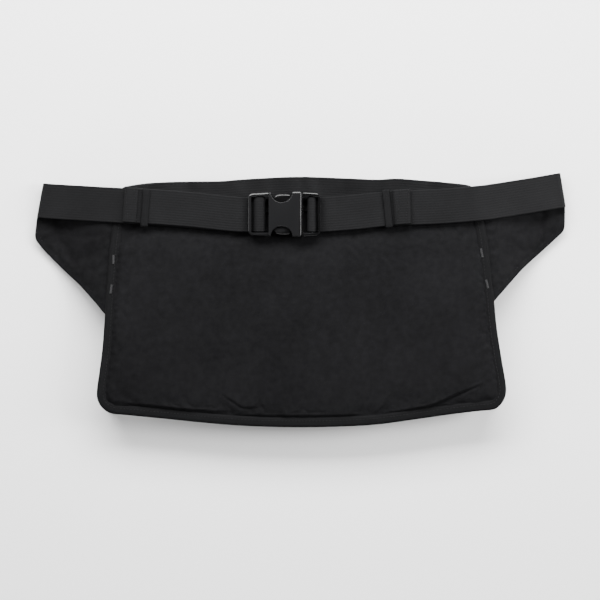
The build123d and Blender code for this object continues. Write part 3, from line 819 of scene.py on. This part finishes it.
# ---------------------------------------------------------------- edge bindings
# Grosgrain tape folded over the raw edges of each big seam and sewn through, one round the
# front panel and one round the back. A row of lockstitches runs just inside its edge.
grosgrain, begin = start_material("binding_grosgrain")
spot_at = begin.node("Attribute", {}, out=1, attribute_name="weave")
rib_along = begin.node("SeparateXYZ", {0: spot_at}, out=0)
ribbing = (rib_along * (math.tau / 0.00085)).math("SINE")
fuzz = begin.node("TexNoise", {"Scale": 420.0, "Detail": 4.0})
patch = begin.node("TexNoise", {"Scale": 30.0, "Detail": 2.0})
close_material(
    begin, mix_colour(begin, ribbing * 0.2 + fuzz * 0.4 + patch * 0.4,
                      (0.0026, 0.0026, 0.0028, 1.0), (0.008, 0.008, 0.0086, 1.0)),
    fuzz * 0.15 + 0.7, ribbing * 0.5 + fuzz * 0.6, 0.4, 0.0005, specular_ior_level=0.05,
)


def weave_map(obj, values):
    """Keeps how far along and across the weave each point lies, in metres."""
    layer = obj.data.attributes.new("weave", "FLOAT_VECTOR", "POINT")
    layer.data.foreach_set("vector", (np.asarray(values, float) * MM).ravel())


def swept(name, rings, weave, material, body, stands_for=(), closed=False):
    """A closed skin through equal rings of points, with its weave map."""
    count, size = len(rings), len(rings[0])
    verts = np.vstack(rings)
    faces = []
    for k in range(count if closed else count - 1):
        for j in range(size):
            a, b = k * size + j, k * size + (j + 1) % size
            c, d = ((k + 1) % count) * size + (j + 1) % size, ((k + 1) % count) * size + j
            faces.append((a, b, c, d))
    if not closed:
        faces.append(tuple(reversed(range(size))))
        faces.append(tuple(range((count - 1) * size, count * size)))
    made = piece(name, verts, faces, material, body, stands_for)
    weave_map(made, np.vstack(weave))
    return made


TAPE_STEP = 1.5
SEWN_IN = 4.6


def edge_tape(name, low, high, node, seed):
    """Binding tape wrapped round a panel edge lying between two heights."""
    line = smooth_line(SEAM, TAPE_STEP, closed=True)
    out = outward(line)
    top, base = high + 0.75, low - 0.7
    middle = (low + high) / 2
    # how far in from the seam line, and how high, once round the tape's section
    section = [(7.6, top - 0.35), (7.4, top - 0.05), (5.0, top + 0.02), (2.4, top),
               (0.6, top - 0.15), (-0.5, top - 0.8), (-0.85, middle), (-0.5, base + 0.8),
               (0.6, base + 0.15), (2.4, base), (5.0, base), (7.6, base + 0.1),
               (7.6, low - 0.1), (2.0, low - 0.1), (0.4, low + 0.3), (0.3, middle),
               (0.4, high - 0.3), (2.0, high + 0.2), (7.6, high + 0.2)]
    rings, weave = [], []
    for k, (spot, normal) in enumerate(zip(line, out)):
        along = k * TAPE_STEP
        drift = 0.35 * noise.noise(Vector((along / 31.0, seed, 0.0)))
        pucker = 0.16 * noise.noise(Vector((along / 3.4, seed, 5.0)))
        ring, marks = [], []
        for inward, z in section:
            grow = drift * min(1.0, max(0.0, inward / 7.0))
            dimple = -0.22 * math.exp(-((inward - SEWN_IN) / 0.7) ** 2) if z > high else 0.0
            flutter = (pucker + dimple) if z > high and inward > 0.5 else 0.0
            flat = spot - normal * (inward + grow)
            ring.append((flat[0], flat[1], z + flutter))
            marks.append((along, inward, 0.0))
        rings.append(np.array(ring))
        weave.append(np.array(marks))
    return swept(name, rings, weave, grosgrain, "pouch", node, closed=True)


edge_tape("back_binding_tape", 28.0, 30.4, "back_binding", 1.0)
edge_tape("front_binding_tape", 0.85, 3.2, "front_binding", 9.0)

sewing_thread, begin = start_material("sewing_thread")
twist = begin.node("TexWave", {"Scale": 900.0, "Distortion": 2.0}, out=1)
close_material(
    begin, mix_colour(begin, twist, (0.003, 0.003, 0.0032, 1.0), (0.009, 0.009, 0.0097, 1.0)),
    twist * 0.1 + 0.55, twist, 0.3, 0.0003, specular_ior_level=0.12,
)


def stitches(name, runs, pitch=2.9, length=2.2, thick=0.2):
    """Rows of lockstitches: each a short thread, pinched at both ends into the cloth.
    A run is a line of x, y, z points on the cloth, which lies flat where it is sewn."""
    verts, faces = [], []
    spans, ring = 5, 6
    for run in runs:
        line = smooth_line(run, pitch)
        for a, b in zip(line, line[1:]):
            ahead = (b - a) / max(1e-6, np.linalg.norm(b - a))
            side = np.cross((0, 0, 1), ahead)
            side /= max(1e-6, np.linalg.norm(side))
            up = np.cross(ahead, side)
            middle = (a + b) / 2
            faces += tube_faces(len(verts), spans, ring)
            for s in range(spans):
                t = s / (spans - 1) * 2 - 1
                fat = thick * math.sqrt(max(0.05, 1 - t * t))
                centre = middle + ahead * (t * length / 2) + up * (0.14 * (1 - t * t) - 0.06)
                for j in range(ring):
                    turn = math.tau * j / ring
                    across = side * fat * 1.1 * math.cos(turn)
                    verts.append(centre + across + up * fat * math.sin(turn))
    return piece(name, verts, faces, sewing_thread, "pouch")


def ring_run(inset, z):
    """A level line all the way round, inside the seam line."""
    line = smooth_line(SEAM, 4.0, closed=True)
    line = line - outward(line) * inset
    return np.column_stack([np.vstack([line, line[:1]]), np.full(len(line) + 1, z)])


stitches("back_binding_stitches", [ring_run(SEWN_IN, 31.02)])
stitches("front_binding_stitches", [ring_run(SEWN_IN, 3.85)])

# ---------------------------------------------------------------- wings
# A padded flap at each side: two layers of the panel nylon over foam, caught in the side seam,
# topstitched round its edge, and sloping away to the floor side where the belt folds round it.
WING_SEWN_IN = 4.2
WINGS = {
    "left": ((-156.0, 92.5), (-185.0, 95.0), (-216.0, 97.5), (-221.8, 95.5), (-224.4, 84.0),
             (-227.4, 72.0), (-229.0, 60.0), (-229.2, 54.0), (-226.8, 49.4), (-218.8, 40.2),
             (-205.0, 26.4), (-190.0, 12.6), (-176.0, -2.6), (-168.4, -11.4), (-162.6, -14.0),
             (-160.6, -4.0), (-159.6, 20.0), (-158.2, 48.0), (-155.0, 76.0)),
    "right": ((150.0, 92.5), (185.0, 97.0), (216.0, 101.0), (222.4, 100.0), (225.6, 92.0),
              (228.6, 87.6), (229.0, 76.0), (228.6, 63.0), (226.6, 58.6), (219.6, 52.0),
              (207.0, 40.4), (193.0, 28.0), (181.0, 15.2), (171.0, 4.0), (165.0, -2.4),
              (161.0, -1.0), (159.4, 18.0), (157.4, 41.0), (154.0, 62.0), (150.0, 78.0)),
}


def wing_slope(x):
    """Height of the middle of a wing at each distance from the centre line."""
    t = np.clip((np.abs(x) - 159.0) / 50.0, 0, 1)
    return 29.2 - 23.7 * (t * t * (3 - 2 * t) * 0.5 + t * 0.5)


# The wings get a copy of the panel nylon made a little lighter: painted light, for the brighter
# light their slopes catch.
wing_cloth_painted_lighter = woven_cloth("wing_nylon_painted_lighter", (0.0066, 0.0066, 0.0071), NYLON_PITCH)
for side, seed in (("left", 11.0), ("right", 17.0)):
    line = smooth_line(WINGS[side], 2.4, closed=True)

    def half_thick(depth):
        """Padding that swells within the topstitching and is drawn in along it."""
        swell = 0.55 + 1.15 * (1 - np.exp(-np.clip(depth - WING_SEWN_IN, 0, None) / 4.0))
        groove = -0.28 * np.exp(-(((depth - WING_SEWN_IN) / 0.9) ** 2))
        return np.where(depth <= 0, 0.25, swell + groove)

    def middle_height(x, y):
        """The slope of the wing, uneven away from the seam and gathered next to it."""
        soft = ripple(x, y, 27.0, seed) * 0.8 + ripple(x, y, 11.0, seed + 3) * 0.25
        off_seam = np.clip((np.abs(x) - 156.0) / 12.0, 0, 1)
        fading = np.exp(-np.clip(np.abs(x) - 158.0, 0, None) / 9.0)
        gather = ripple(x * 0.35, y, 5.5, seed + 6) * 0.5 * fading
        return wing_slope(x) + soft * off_seam + gather * off_seam

    verts, faces, _ = pillow(line, pitch=3.0,
                             upper=lambda x, y, d: middle_height(x, y) + half_thick(d),
                             lower=lambda x, y, d: middle_height(x, y) - half_thick(d))
    wing = piece(side + "_wing_cloth", verts, faces, wing_cloth_painted_lighter,
                 stands_for=side + "_wing")
    depth = edge_distance(verts[:, :2], line)
    billow(wing, depth > 4.8, slack=0.02, push=2.5, cap=0.9)
    refine(wing)
    sewn = line - outward(line) * WING_SEWN_IN
    open_side = in_order([k for k, p in enumerate(sewn) if abs(p[0]) > 169.0], len(sewn))
    row = sewn[open_side][::2]
    inset = np.full(len(row), WING_SEWN_IN)
    height = middle_height(row[:, 0], row[:, 1]) + half_thick(inset)
    stitches(side + "_wing_stitches", [np.column_stack([row, height + 0.05])])

# ---------------------------------------------------------------- bar tacks
# Four short dense rows of zigzag thread, two a side, sewn through the side seams where the
# wings pull on them. The thread is shinier than the cloth and stands proud of the tape.
TACKS = ((-160.2, 35.0, 88.0), (-162.2, 9.6, 83.0), (155.6, 40.6, 101.0), (160.2, 13.9, 104.0))
TACK_HEIGHT = 31.28
TACK_HALF_WIDE = 1.05
ZIGZAGS = 19
tack_verts, tack_faces = [], []
for x, y, turn in TACKS:
    lead = np.array([math.cos(math.radians(turn)), math.sin(math.radians(turn)), 0.0])
    cross = np.array([-lead[1], lead[0], 0.0])
    for k in range(ZIGZAGS):
        lean = 0.16 if k % 2 else -0.16
        centre = np.array([x, y, TACK_HEIGHT]) + lead * (k - ZIGZAGS // 2) * 0.4
        tack_faces += tube_faces(len(tack_verts), 7, 6)
        for s in range(7):
            t = s / 6 * 2 - 1
            lift = 0.34 * (1 - t * t)
            for j in range(6):
                a = math.tau * j / 6
                round_off = lead * (lean * t + 0.2 * math.cos(a))
                up = np.array([0, 0, lift + 0.2 * math.sin(a)])
                tack_verts.append(centre + cross * t * TACK_HALF_WIDE + round_off + up)
tack_thread, begin = start_material("tack_thread")
gleam = begin.node("TexNoise", {"Scale": 700.0, "Detail": 2.0})
close_material(
    begin, mix_colour(begin, gleam, (0.007, 0.007, 0.0075, 1.0), (0.022, 0.022, 0.0236, 1.0)),
    gleam * 0.15 + 0.4, gleam, 0.2, 0.0003, specular_ior_level=0.3,
)
piece("bar_tacks_thread", tack_verts, tack_faces, tack_thread, "pouch", "bar_tacks")

# ---------------------------------------------------------------- belt webbing on the back panel
# Ribbed polypropylene webbing, 30 mm wide, sewn along the top of the back panel. It stands a
# little past the panel's top edge and ripples between its stitches.
WIDE = 30.0
THICK = 1.4
RIBS = 14
webbing_weave, begin = start_material("webbing_polypropylene")
spot_at = begin.node("Attribute", {}, out=1, attribute_name="weave")
length_at = begin.node("SeparateXYZ", {0: spot_at}, out=0)
width_at = begin.node("SeparateXYZ", {0: spot_at}, out=1)
rib_scale = math.tau * RIBS / (WIDE * MM)
rib = (width_at * rib_scale + math.pi).math("COSINE") * 0.5 + 0.5
zigzag = (width_at * rib_scale).math("SINE") * 0.0004
chevron = ((length_at + zigzag) * (math.tau / 0.0011)).math("SINE")
fibre = begin.node("TexNoise", {"Vector": spot_at, "Scale": 700.0, "Detail": 4.0})
worn = begin.node("TexNoise", {"Vector": spot_at, "Scale": 34.0, "Detail": 3.0})
tone = rib * 0.16 + fibre * 0.3 + worn * 0.45 + chevron * 0.06
close_material(
    begin, mix_colour(begin, tone, (0.0024, 0.0024, 0.0026, 1.0), (0.009, 0.009, 0.0096, 1.0)),
    fibre * 0.16 + 0.62, rib * 0.22 + chevron * 0.2 + fibre * 0.3, 0.4, 0.0005,
    specular_ior_level=0.06,
)


def webbing_section():
    """The outline across the webbing, ribbed above and below: place across, and height."""
    upper = []
    half, steps = WIDE / 2, RIBS * 4
    for k in range(steps + 1):
        a = -half + WIDE * k / steps
        edge = min(1.0, (half - abs(a)) / 0.4)
        swell = 0.025 * math.cos(math.tau * RIBS * a / WIDE + math.pi)
        face = (THICK / 2 - 0.06) * math.sqrt(max(0.03, 1 - (1 - edge) ** 2))
        upper.append((a, face + swell * edge))
    return upper + [(a, -n) for a, n in reversed(upper)]


def ribbon(name, path, across, body, stands_for, wave, seed, loose=None):
    """Webbing along a path of points, laid the way that across gives at each point.
    It waves all over, and is lifted where loose gives a height from x and the place across."""
    section = webbing_section()
    rings, weave = [], []
    ahead = np.gradient(path, axis=0)
    run = np.concatenate([[0], np.cumsum(np.linalg.norm(np.diff(path, axis=0), axis=1))])
    for spot, lead, side, far in zip(path, ahead, across, run):
        lead = lead / np.linalg.norm(lead)
        side = side / np.linalg.norm(side)
        up = np.cross(lead, side)
        up /= np.linalg.norm(up)
        ring, marks = [], []
        for a, n in section:
            flex = wave * noise.noise(Vector((far / 13.0, a / 40.0, seed)))
            if loose:
                uneven = 0.45 + noise.noise(Vector((far / 10.0, 0.5, seed + 7)))
                flex += loose(spot[0], a) * uneven
            ring.append(spot + side * a + up * (n + flex))
            marks.append((far, a, n))
        rings.append(np.array(ring))
        weave.append(np.array(marks))
    return swept(name, rings, weave, webbing_weave, body, stands_for)


back_path = smooth_line(
    ((-150.0, 82.6, 32.35), (-128.0, 85.0, 32.25), (-104.0, 86.6, 32.3), (-70.0, 87.0, 32.25),
     (-45.0, 88.9, 32.3), (0.0, 90.8, 32.35), (45.0, 89.2, 32.25), (66.0, 88.4, 32.3),
     (82.0, 89.3, 32.3), (104.0, 87.7, 32.25), (125.0, 85.9, 32.3), (146.0, 82.4, 32.35)), 2.0)


FREE_MOST = 17.5
FREE_LIFT = 3.6


def back_lift(x, a):
    """How far the free upper part stands up, past the strap that holds the rest down."""
    free = FREE_MOST - 0.1 * abs(x)
    return FREE_LIFT * max(0.0, (a - WIDE / 2 + free) / FREE_MOST) ** 1.2


ribbon("belt_webbing_back", back_path, np.tile((0.0, 1.0, 0.0), (len(back_path), 1)),
       "pouch", "belt_webbing", wave=0.4, seed=3.0, loose=back_lift)
belt_rows = [back_path[4:-4:4] + np.array([0.0, shift, 0.72]) for shift in (-12.9, 12.9)]
stitches("belt_webbing_stitches", belt_rows, pitch=3.2, length=2.3, thick=0.16)

# ---------------------------------------------------------------- straps
# Each half of the belt: webbing sewn under the end of its wing, folded round it, run in across
# the panel to the buckle bar, laced over the bar and back out on itself to a rolled, sewn hem.
LEFT_LIE = ((-236.0, 87.9), (-216.0, 85.4), (-180.0, 82.9), (-150.0, 80.9), (-124.0, 79.2),
            (-95.0, 76.9), (-60.0, 73.9), (-44.0, 73.35), (-20.0, 73.35))
RIGHT_LIE = ((0.0, 73.35), (18.0, 73.35), (34.0, 74.4), (51.0, 75.9), (85.0, 78.9),
             (120.0, 80.4), (154.0, 83.2), (171.0, 85.6), (188.0, 88.4), (206.0, 91.4),
             (221.0, 94.2), (236.0, 97.0))
TURN_IN = 202.0
TAIL_SHIFT = 0.9


def strap(name, lie, profile, node, end_lean, seed):
    """Webbing whose x and height follow the profile and whose y follows its lie in plan."""
    lie = smooth_line(lie, 2.0)
    flat = smooth_line(profile, 0.8)
    from_middle = np.abs(flat[:, 0])
    y = np.interp(flat[:, 0], lie[:, 0], lie[:, 1])
    slope = np.gradient(lie[:, 1], lie[:, 0])
    lean = np.interp(flat[:, 0], lie[:, 0], slope)
    lean = lean + end_lean * np.clip((from_middle - 196.0) / 22.0, 0, 1)
    tail = np.clip((flat[:, 1] - 36.4) / 0.6, 0, 1) * np.clip((from_middle - 50.0) / 40.0, 0, 1)
    path = np.column_stack([flat[:, 0], y + TAIL_SHIFT * tail, flat[:, 1]])
    across = np.column_stack([-lean, np.ones(len(lean)), np.zeros(len(lean))])
    run = np.concatenate([[0], np.cumsum(np.linalg.norm(np.diff(path, axis=0), axis=1))])
    bends = np.linalg.norm(np.gradient(np.gradient(path, axis=0), axis=0), axis=1)
    # close rings of points where it bends, wider apart where it runs straight
    kept, last = [0], 0.0
    for k in range(1, len(path) - 1):
        gap = 0.8 if bends[k] > 0.01 else 2.2
        if run[k] - last >= gap - 1e-6:
            kept.append(k)
            last = run[k]
    kept.append(len(path) - 1)
    made = ribbon(name, path[kept], across[kept], None, node, wave=0.22, seed=seed)
    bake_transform(made)


def strap_profile(s, reach, lacing, tail):
    """Side view of a strap from its sewn end under the wing to the hem of its tail."""
    fold = ((TURN_IN, 3.25), (212.0, 3.25), (reach - 5.2, 3.25), (reach - 1.3, 4.6), (reach, 7.4),
            (reach - 1.3, 10.4), (reach - 5.1, 12.2), (212.0, 15.4), (196.0, 20.8), (180.0, 26.4),
            (168.0, 30.4), (159.0, 33.2), (151.0, 34.9), (143.0, 35.25), (120.0, 35.3),
            (90.0, 35.3), (60.0, 35.3))
    return tuple((s * x, z) for x, z in fold) + lacing + tail


LEFT_LACING = ((-50.0, 35.2), (-44.0, 34.9), (-37.0, 34.9), (-32.4, 35.0), (-30.7, 36.0),
               (-30.4, 38.2), (-30.5, 40.0), (-31.5, 41.0), (-34.3, 41.1), (-37.2, 40.95),
               (-38.5, 40.3), (-39.6, 38.7), (-40.7, 37.0), (-42.2, 36.5), (-45.0, 36.8))
LEFT_TAIL = ((-50.5, 37.9), (-55.0, 38.0), (-60.0, 37.4), (-66.0, 37.1), (-90.0, 37.1),
             (-120.0, 37.1), (-128.0, 36.9), (-136.0, 36.85), (-143.0, 37.2), (-149.6, 37.3),
             (-151.0, 38.2), (-149.6, 39.3), (-146.0, 39.4), (-139.6, 39.35))
RIGHT_LACING = ((26.0, 35.2), (20.0, 34.9), (13.0, 34.9), (8.6, 35.0), (6.8, 36.0), (6.5, 38.2),
                (6.6, 40.0), (7.5, 41.0), (9.4, 41.1), (11.3, 40.95), (12.5, 40.3),
                (13.5, 38.7), (14.5, 37.0), (15.9, 36.5), (18.6, 36.8))
RIGHT_TAIL = ((23.0, 37.7), (28.0, 37.6), (34.0, 37.1), (55.0, 37.1), (70.0, 36.9),
              (78.0, 36.85), (84.0, 37.2), (92.9, 37.3), (94.2, 38.2), (92.9, 39.3),
              (88.8, 39.4), (80.0, 39.35))
strap("left_strap_webbing", LEFT_LIE, strap_profile(-1, 224.2, LEFT_LACING, LEFT_TAIL),
      "left_strap", end_lean=-0.05,
      seed=21.0)
strap("right_strap_webbing", RIGHT_LIE, strap_profile(1, 226.4, RIGHT_LACING, RIGHT_TAIL),
      "right_strap", end_lean=-0.02,
      seed=29.0)

# Two rows of stitches through the rolled hem of each tail.
HEM_TOP = 40.08
HEM_ROW_GAP = 7.2
for name, x_end, y_end, towards, tilt in (("left", -148.4, 81.7, 1, 0.075),
                                          ("right", 91.6, 80.3, -1, -0.085)):
    hem_rows = []
    for shift in (0.0, HEM_ROW_GAP):
        x = x_end + towards * shift
        y = y_end - shift * tilt
        hem_rows.append(np.array([(x - tilt * d, y + d, HEM_TOP)
                                  for d in np.linspace(-13.6, 13.6, 12)]))
    stitches(name + "_hem_stitches", hem_rows, pitch=2.3, length=1.9, thick=0.22)

# ---------------------------------------------------------------- keepers
# A flat loop of knitted elastic on each strap, joined end to end. It grips both layers of
# webbing, so that the tail lies down, and can be slid along them.
elastic, begin = start_material("keeper_elastic")
spot_at = begin.node("Attribute", {}, out=1, attribute_name="weave")
along_at = begin.node("SeparateXYZ", {0: spot_at}, out=0)
over_at = begin.node("SeparateXYZ", {0: spot_at}, out=1)
rubber_cords = (along_at * (math.tau / 0.0009)).math("SINE")
knit = (over_at * (math.tau / 0.0012)).math("SINE")
fuzz = begin.node("TexNoise", {"Vector": spot_at, "Scale": 900.0, "Detail": 3.0})
close_material(
    begin, mix_colour(begin, rubber_cords * 0.25 + fuzz * 0.4 + 0.2,
                      (0.0022, 0.0022, 0.0024, 1.0), (0.008, 0.008, 0.0086, 1.0)),
    fuzz * 0.2 + 0.62, rubber_cords * 0.7 + knit * 0.3 + fuzz * 0.3, 0.45, 0.0004,
    specular_ior_level=0.06,
)


KEEPER_HALF_WIDE = 15.7
KEEPER_LOW, KEEPER_HIGH = 34.15, 38.6
KEEPER_SQUARENESS = 0.22
# how far along the strap, and how far out of the loop, once round the band of elastic
BAND = ((-3.0, -0.1), (-3.1, 0.3), (-2.8, 0.55), (-1.5, 0.66), (0.0, 0.7), (1.5, 0.66),
        (2.8, 0.55), (3.1, 0.3), (3.0, -0.1), (1.5, -0.14), (0.0, -0.14), (-1.5, -0.14))


def keeper(name, centre, degrees, node, turns=72):
    """A loop of elastic round both layers, drawn in a little where it passes the edges."""
    lead = np.array([1.0, math.tan(math.radians(degrees)), 0.0])
    lead /= np.linalg.norm(lead)
    side = np.array([-lead[1], lead[0], 0.0])
    middle = np.array([*centre, (KEEPER_LOW + KEEPER_HIGH) / 2])
    half_tall = (KEEPER_HIGH - KEEPER_LOW) / 2
    rings, weave = [], []
    for k in range(turns):
        c, s = math.cos(math.tau * k / turns), math.sin(math.tau * k / turns)
        a = KEEPER_HALF_WIDE * math.copysign(abs(c) ** KEEPER_SQUARENESS, c)
        h = half_tall * math.copysign(abs(s) ** KEEPER_SQUARENESS, s)
        out = side * c * 0.5 + np.array([0.0, 0.0, s])
        out /= np.linalg.norm(out)
        ring, marks = [], []
        for along, lift in BAND:
            bow = 0.18 * noise.noise(Vector((k * 0.2, along * 0.2, centre[0])))
            ring.append(middle + lead * (along + bow) + side * a + np.array([0.0, 0.0, h])
                        + out * lift)
            marks.append((along, k, lift))
        rings.append(np.array(ring))
        weave.append(np.array(marks))
    return swept(name, rings, weave, elastic, node, node, closed=True)


keeper("left_keeper_elastic", (-132.6, 79.2), -3.8, "left_keeper")
keeper("right_keeper_elastic", (74.6, 78.3), 5.9, "right_keeper")

# ---------------------------------------------------------------- buckle
# A side-release buckle moulded in black acetal, laced at both ends. The socket is hollow with a
# finger window in each side, and the plug has a guide tongue and two springy arms.
BELT_Y = box_middle("buckle_socket")[1]
RAIL_HALF = 18.8
BAR_Z = (36.5, 39.9)
acetal, begin = start_material("buckle_acetal")
pore = begin.node("TexNoise", {"Scale": 1900.0, "Detail": 2.0})
cloud = begin.node("TexNoise", {"Scale": 90.0, "Detail": 4.0})
point = begin.node("NewGeometry", out=7)
# Lighter colour along the rounded edges, found from their pointiness: a painted highlight on the
# buckle's rims.
edge_wear_and_highlight = begin.node("ValToRGB", {0: point}, stops=((0.51, 0.0), (0.58, 1.0)))
close_material(
    begin, mix_colour(begin, edge_wear_and_highlight * 0.5 + cloud * 0.2, (0.0012, 0.0012, 0.0013, 1.0),
                      (0.01, 0.01, 0.0106, 1.0)),
    pore * 0.08 + 0.115, pore, 0.1, 0.0002, specular_ior_level=0.28,
)


def rounded_plan(x0, x1, half, left, right, steps=7):
    """A rectangle in plan about the belt line, its corners rounded by left and right radii."""
    plan = []
    for cx, cy, r, at in ((x1 - right, BELT_Y + half - right, right, 0),
                          (x0 + left, BELT_Y + half - left, left, 90),
                          (x0 + left, BELT_Y - half + left, left, 180),
                          (x1 - right, BELT_Y - half + right, right, 270)):
        for k in range(steps + 1):
            a = math.radians(at + 90 * k / steps)
            plan.append((cx + r * math.cos(a), cy + r * math.sin(a)))
    return plan


def belt_block(x_span, half, z_span):
    """A block that lies as far to one side of the belt line as to the other."""
    low, high = zip(x_span, (BELT_Y - half, BELT_Y + half), z_span)
    return block("part", low, high, acetal)


def tapered(plan, x_from, x_to, share):
    """The same plan, drawn in towards the belt line by a share at x_to."""
    return [(x, y + (BELT_Y - y) * share * min(1.0, max(0.0, (x - x_from) / (x_to - x_from))))
            for x, y in plan]


def crowned(name, plan, low, high, body, waist=0.9, rounded_from=-99.0, rounded_to=99.0):
    """A moulded body of one outline, its edges rounded by the waist between two x, else hardly."""
    line = np.array(plan)
    full = (line[:, 0] > rounded_from) & (line[:, 0] < rounded_to)
    normals = outward(line) * np.where(full, 1.0, 0.35)[:, None]
    middle = (low + high) / 2
    levels = ((low, 1.12), (low, 1.0), (low + 0.3, 0.45), (low + 0.9, 0.12), (middle, 0.0),
              (high - 0.9, 0.12), (high - 0.3, 0.45), (high, 1.0), (high, 1.12))
    rings = [np.column_stack([line - normals * inset * waist, np.full(len(line), z)])
             for z, inset in levels]
    return piece(name, np.vstack(rings), tube_faces(0, len(levels), len(line)), acetal, body)


def round_bar(x0, x1, body, reach=16.0, turns=20):
    """A cross bar with a rounded section, let into the side rails."""
    section = []
    z0, z1 = BAR_Z
    for k in range(turns):
        c, s = math.cos(math.tau * k / turns), math.sin(math.tau * k / turns)
        x = (x0 + x1) / 2 + (x1 - x0) / 2 * math.copysign(abs(c) ** 0.6, c)
        z = (z0 + z1) / 2 + (z1 - z0) / 2 * math.copysign(abs(s) ** 0.6, s)
        section.append((x, z))
    verts = [(x, BELT_Y + end * reach, z) for end in (-1, 1) for x, z in section]
    return piece("part", verts, tube_faces(0, 2, turns), acetal, body)


def finger_window(side, reach=9.3, lip=0.75, turns=56):
    """The cutter for a finger window: a drum flared at both ends so that the rim is rounded."""
    centre_x, centre_y = -16.0, BELT_Y + side * 19.7
    verts = []
    levels = ((33.0, lip), (34.9, lip), (35.1, lip * 0.62), (35.5, lip * 0.26), (36.0, 0.0),
              (44.2, 0.0), (44.7, lip * 0.26), (45.1, lip * 0.62), (45.3, lip), (47.0, lip))
    for z, flare in levels:
        for k in range(turns):
            a = math.tau * k / turns
            verts.append((centre_x + (reach + flare) * math.cos(a),
                          centre_y + (reach + flare) * math.sin(a), z))
    faces = tube_faces(0, len(levels), turns)
    return piece("cut", verts, faces, acetal, "buckle_socket")


# The socket: a hollow shell with a collar at its mouth, and the frame and bar for the strap.
socket = crowned("buckle_socket_shell", rounded_plan(-27.2, 1.2, RAIL_HALF, 1.5, 1.5),
                 34.9, 45.3, "buckle_socket", 1.3, rounded_from=-25.0)
mouth_collar = crowned("part", rounded_plan(-7.6, 1.15, 19.4, 1.8, 1.6), 34.95, 45.28,
                       "buckle_socket", 1.3)
combine(socket, [mouth_collar], "UNION")
combine(socket, [finger_window(side) for side in (-1, 1)], "DIFFERENCE")
combine(socket, [belt_block((-25.0, -5.0), 17.7, (37.1, 43.1)),
                 belt_block((-6.0, 3.0), 16.2, (37.1, 43.1))], "DIFFERENCE")
frame_plan = tapered(rounded_plan(-44.7, -26.4, RAIL_HALF, 4.0, 1.6), -26.4, -44.7, 0.055)
lacing_frame = crowned("part", frame_plan, 36.5, 42.8, "buckle_socket", 1.3)
lacing_slot = prism("cut", rounded_plan(-42.0, -27.1, 15.6, 0.8, 0.4), 35.0, 44.0, acetal)
combine(lacing_frame, [lacing_slot, belt_block((-45.5, -40.0), 15.5, (35.0, 38.2))],
        "DIFFERENCE")
combine(socket, [lacing_frame, round_bar(-37.3, -31.3, "buckle_socket")], "UNION")
soften(socket, 0.3)
settle(socket, "buckle_socket", "buckle_socket")

# The plug: its own frame and bar, the plate that meets the socket, and a flat guide tongue.
plug_plan = tapered(rounded_plan(1.75, 17.3, 19.1, 1.6, 4.0), 1.75, 17.3, 0.05)
plug = crowned("buckle_plug_base", plug_plan, 36.4, 42.9, "buckle_plug", 1.05, rounded_to=15.9)
plug_slot = prism("cut", rounded_plan(2.35, 15.5, 15.7, 0.4, 0.8), 35.0, 44.0, acetal)
combine(plug, [plug_slot, belt_block((13.8, 18.2), 15.5, (35.0, 38.2))], "DIFFERENCE")
stop_plate = crowned("part", rounded_plan(1.75, 2.4, 19.2, 0.3, 0.3), 35.2, 44.3,
                     "buckle_plug", 0.25)
TONGUE = ((2.2, -4.5), (2.2, 4.5), (-17.5, 4.5), (-19.6, 2.6), (-19.6, -2.6), (-17.5, -4.5))
tongue = prism("part", [(x, BELT_Y + y) for x, y in TONGUE], 38.1, 42.1, acetal)
combine(plug, [stop_plate, round_bar(7.4, 11.3, "buckle_plug"), tongue], "UNION")
soften(plug, 0.3)
settle(plug, "buckle_plug", "buckle_plug")

# The two arms: x, and distance from the belt line, from the plate out to the tip and back.
ARM_OUTER = ((1.3, 13.4), (-3.0, 13.7), (-6.4, 14.4), (-8.2, 15.2), (-8.7, 16.6), (-9.6, 17.35),
             (-14.0, 17.6), (-18.6, 17.35), (-21.2, 16.2), (-22.4, 14.6))
ARM_INNER = ((-22.2, 13.4), (-20.6, 12.0), (-17.0, 11.0), (-12.0, 10.4), (-7.5, 10.2),
             (-3.0, 10.2), (1.3, 10.4))
ARM_LEVELS = ((37.5, 2.0), (37.8, 1.1), (38.5, 0.35), (39.4, 0.0), (40.8, 0.0), (41.9, 0.25),
              (42.4, 0.7), (42.7, 1.4))
GRIP_FROM, GRIP_PITCH, GRIP_COUNT = -18.2, 2.1, 5
GRIP_HALF = 0.35
for side, node in ((1, "plug_prong_upper"), (-1, "plug_prong_lower")):
    outer = smooth_line(ARM_OUTER, 0.8)
    inner = smooth_line(ARM_INNER, 0.8)
    rings = []
    for z, inset in ARM_LEVELS:
        edge = np.vstack([outer - (0.0, inset), inner])
        y = BELT_Y + side * edge[:, 1]
        rings.append(np.column_stack([edge[:, 0], y, np.full(len(edge), z)]))
    faces = tube_faces(0, len(rings), len(rings[0]))
    arm = piece(node + "_arm", np.vstack(rings), faces, acetal, node)
    grooves = []
    for k in range(GRIP_COUNT):
        x = GRIP_FROM + k * GRIP_PITCH
        low, high = sorted((BELT_Y + side * 17.15, BELT_Y + side * 18.5))
        grooves.append(block("cut", (x - GRIP_HALF, low, 36.5), (x + GRIP_HALF, high, 43.7), acetal))
    combine(arm, grooves, "DIFFERENCE")
    soften(arm, 0.18)
    settle(arm, node, node)
